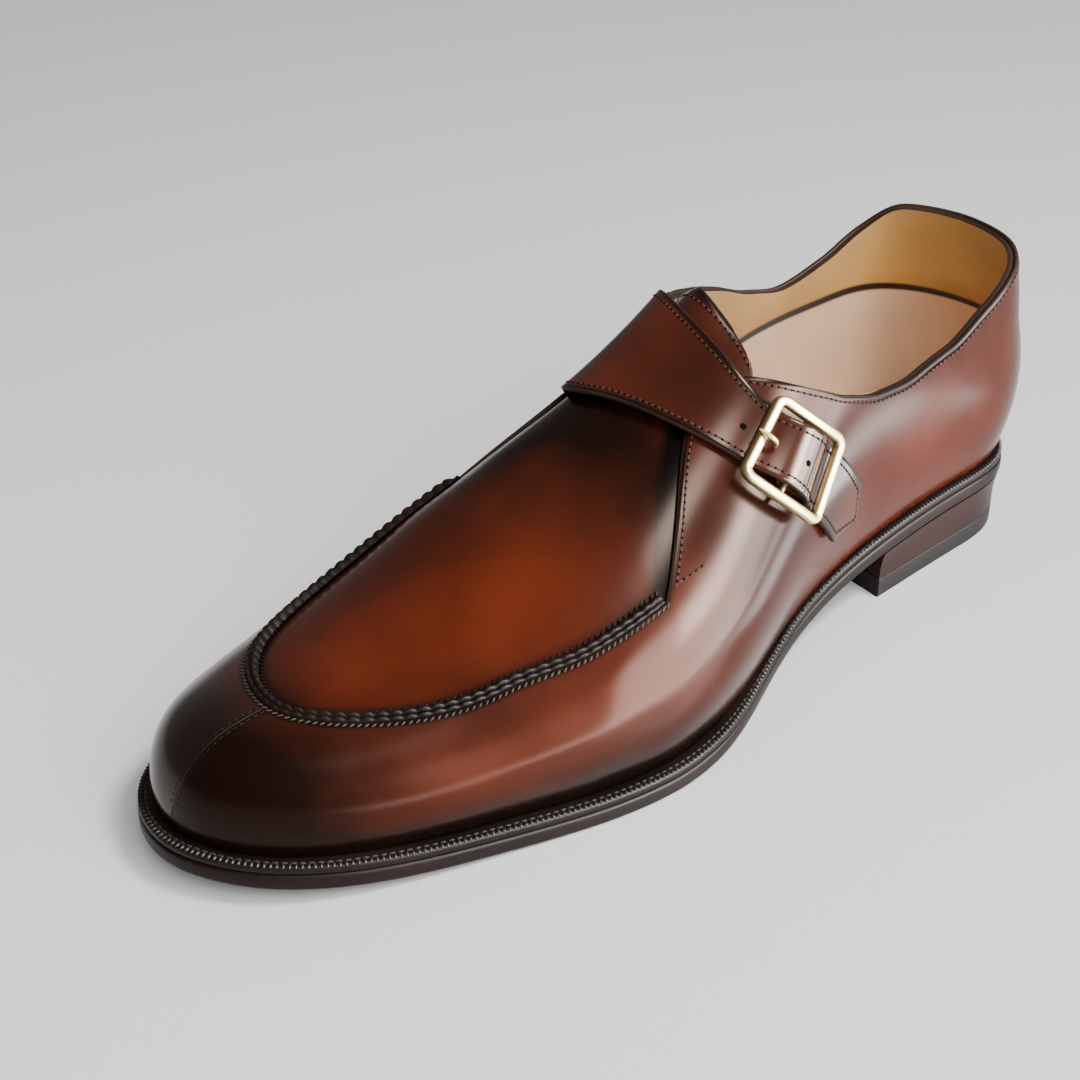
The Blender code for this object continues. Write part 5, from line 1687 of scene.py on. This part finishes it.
class SHOE_OT_stitches(BuildOperator, bpy.types.Operator):
    """Sews the shoe: strap, collar, facings, tongue, apron, toe and welt"""

    bl_idname = "shoe.stitches"
    bl_label = "Stitches"

    def build(self, context):
        sizes = context.scene.shoe_stitches
        step, wide = sizes.spacing, sizes.thread
        # The holes' look is painted shade, kept almost free of reflection.
        hole = plain_look("hole_shade")
        hole.node_tree.nodes["Principled BSDF"].inputs["Specular IOR Level"].default_value = 0.1
        threads = ("dark_thread", "toe_thread", "welt_thread", "seam_thread")
        thread, black, light, grey = [plain_look(name) for name in threads]
        stitch = {"look": thread, "spacing": step, "length": 0.80 * step}
        stitch.update({"width": wide, "height": 0.75 * wide})
        stitch_row("strap_stitches", [strap_line(STITCH_INSET)], **stitch)
        rows = [edge_line(*stretch, EDGE_INSET, QUARTER_RISE) for stretch in EDGE_ROWS]
        rows += [along_places([(a * LAST_LENGTH, t) for a, t in BAR_TACK], QUARTER_RISE)]
        rows += [along_places([(a * LAST_LENGTH, 2 - t) for a, t in BAR_TACK], QUARTER_RISE)]
        stitch_row("quarter_stitches", rows, **stitch)
        # Pinholes: near-black specks between the stitches, painted shade in the needle holes.
        pins = {"look": hole, "spacing": 0.9999 * step}
        pins.update({"length": 0.42 * step, "width": 1.5 * wide, "height": 0.8 * wide})
        sewn = {"strap": [strap_line(STITCH_INSET)], "quarter": rows, "tongue": [tongue_line()]}
        for label, lines in sewn.items():
            stitch_row(label + "_pinholes", [between(points, ups, step) for points, ups in lines], **pins)
        stitch_row("tongue_stitches", [tongue_line()], **stitch)
        split = []
        for side in (1, -1):
            low, high = SEAM_FRONT + TOE_STITCH_MARGIN, TOE_STITCH_END
            places = [(girth, 1.0) for girth in fine_girths() if low < place_share(girth) < high]
            points, ups = along_places(places, QUARTER_RISE)
            split.append((points + np.array((0, side * TOE_STITCH_GAP, 0)), ups))
        fine = {**stitch, "look": black, "width": 0.7 * wide, "height": 0.4 * wide}
        stitch_row("toe_stitches", split, **fine)
        points, ups, inward, _ = seam_frame(0.8 * MM)
        apron = points + inward * (SEAM_WIDTH + CROSS_INSET) + ups * CROSS_RISE
        wall = points - inward * CROSS_OUTSET + ups * (QUARTER_THICKNESS + 2 * CROSS_RISE)
        cross = {"spacing": SEAM_STITCH / 2, "length": 1.6 * MM, "width": 0.55 * MM, "height": 0.36 * MM}
        stitch_row("apron_stitches", [(apron, ups)], black, **cross, slant=0.9)
        stitch_row("wall_stitches", [(wall, ups)], grey, **cross, slant=0.7)
        gap = sizes.welt_spacing
        welt = {"spacing": gap, "length": 0.82 * gap, "width": 0.75 * MM, "height": 0.7 * MM}
        stitch_row("welt_stitches", [welt_line(0.5, 0, 0.1 * MM, WELT_STITCH_START)], light, **welt)
        ribs = {"spacing": 1.45 * MM, "length": 0.95 * MM, "width": 1.7 * MM, "height": 0.9 * MM}
        marks = [welt_line(1.0, RIB_INSET, 0.02 * MM, 0.0)]
        stitch_row("welt_ribs", marks, bpy.data.materials["welt_leather"], **ribs)
        # The strap's holes: near-black lenses sunk into the strap, painted shade inside the punched holes.
        holes = []
        for along in (HOLE_PLACE - HOLE_GAP, HOLE_PLACE + HOLE_GAP):
            middle = 0.5 + BUCKLE_SHIFT / (20 * MM)
            places = [strap_place(along + move, middle) for move in (-0.0001, 0.0001)]
            top = strap_height(np.array([along, along])) + STRAP_THICKNESS - HOLE_SINK
            holes.append((skin(np.array(places), top), normal(*np.array(places).T)))
        stitch_row("strap_holes", holes, hole, 5 * MM, HOLE_WIDTH, HOLE_WIDTH, HOLE_HEIGHT)


class SHOE_OT_stage(BuildOperator, bpy.types.Operator):
    """Makes the floor, the lights and the camera"""

    bl_idname = "shoe.stage"
    bl_label = "Stage"

    def build(self, context):
        stage = context.scene.shoe_stage
        look = bpy.data.materials.new("floor_pale")
        look.use_nodes = True
        shader = look.node_tree.nodes["Principled BSDF"]
        shader.inputs["Base Color"].default_value = (FLOOR_WHITE, FLOOR_WHITE, FLOOR_WHITE, 1)
        shader.inputs["Roughness"].default_value = FLOOR_ROUGHNESS
        bpy.ops.mesh.primitive_plane_add(size=FLOOR_SIZE, location=(0, 0, 0))
        floor = context.object
        floor.name = "floor"
        floor.data.materials.append(look)
        world = context.scene.world or bpy.data.worlds.new("world")
        context.scene.world = world
        world.use_nodes = True
        sky = world.node_tree.nodes["Background"]
        sky.inputs["Color"].default_value = (1, 1, 1, 1)
        sky.inputs["Strength"].default_value = WORLD_STRENGTH
        for name, kind, place, size, power, target in LIGHTS:
            data = bpy.data.lights.new(name, "AREA")
            data.shape = "RECTANGLE"
            data.size, data.size_y = size
            data.energy = power
            light = bpy.data.objects.new(name, data)
            context.scene.collection.objects.link(light)
            light.location = place
            aim = Vector(target) - Vector(place)
            light.rotation_euler = aim.to_track_quat("-Z", "Y").to_euler()
            light.visible_diffuse = kind != "gloss"
            light.visible_glossy = kind != "fill"
            light.visible_camera = False
        azimuth, elevation, roll = (math.radians(a) for a in (stage.azimuth, stage.elevation, stage.roll))
        level = math.cos(elevation)
        back = np.array((math.sin(azimuth) * level, -math.cos(azimuth) * level, math.sin(elevation)))
        right = np.cross(-back, (0, 0, 1.0))
        right /= np.linalg.norm(right)
        up = np.cross(right, -back)
        c, s = math.cos(roll), math.sin(roll)
        right, up = c * right + s * up, -s * right + c * up
        place = np.array(CAMERA_TARGET) + back * stage.distance
        data = bpy.data.cameras.new("camera")
        data.sensor_width = 36
        data.lens = stage.lens
        data.clip_start = 0.01
        camera = bpy.data.objects.new("camera", data)
        context.scene.collection.objects.link(camera)
        axes = Matrix((right, up, back)).transposed().to_4x4()
        camera.matrix_world = Matrix.Translation(place) @ axes
        context.scene.camera = camera


class SHOE_PT_panel(bpy.types.Panel):
    """The shoe's pieces, sizes and colours"""

    bl_idname = "SHOE_PT_panel"
    bl_label = "Monk Strap Shoe"
    bl_space_type = "VIEW_3D"
    bl_region_type = "UI"
    bl_category = "Shoe"

    def draw(self, context):
        scene = context.scene
        for group in (scene.shoe_leather, scene.shoe_stitches, scene.shoe_stage):
            box = self.layout.box()
            for name in group.__annotations__:
                box.prop(group, name)
        for operator in OPERATORS:
            self.layout.operator(operator.bl_idname)


OPERATORS = (
    SHOE_OT_groups, SHOE_OT_quarters, SHOE_OT_upper, SHOE_OT_tongue, SHOE_OT_seam, SHOE_OT_sole,
    SHOE_OT_buckle, SHOE_OT_stitches, SHOE_OT_stage,
)
CLASSES = (LeatherLooks, StitchSizes, StageSizes, *OPERATORS, SHOE_PT_panel)


def register():
    """Registers the classes and hangs their settings on the scene."""
    for cls in CLASSES:
        bpy.utils.register_class(cls)
    bpy.types.Scene.shoe_leather = PointerProperty(type=LeatherLooks)
    bpy.types.Scene.shoe_stitches = PointerProperty(type=StitchSizes)
    bpy.types.Scene.shoe_stage = PointerProperty(type=StageSizes)


def unregister():
    """Takes the settings and the classes away again."""
    del bpy.types.Scene.shoe_leather, bpy.types.Scene.shoe_stitches, bpy.types.Scene.shoe_stage
    for cls in reversed(CLASSES):
        bpy.utils.unregister_class(cls)


def main():
    """Builds every piece."""
    register()
    for operator in OPERATORS:
        getattr(bpy.ops.shoe, operator.bl_idname.split(".")[1])()


if __name__ == "__main__":
    main()
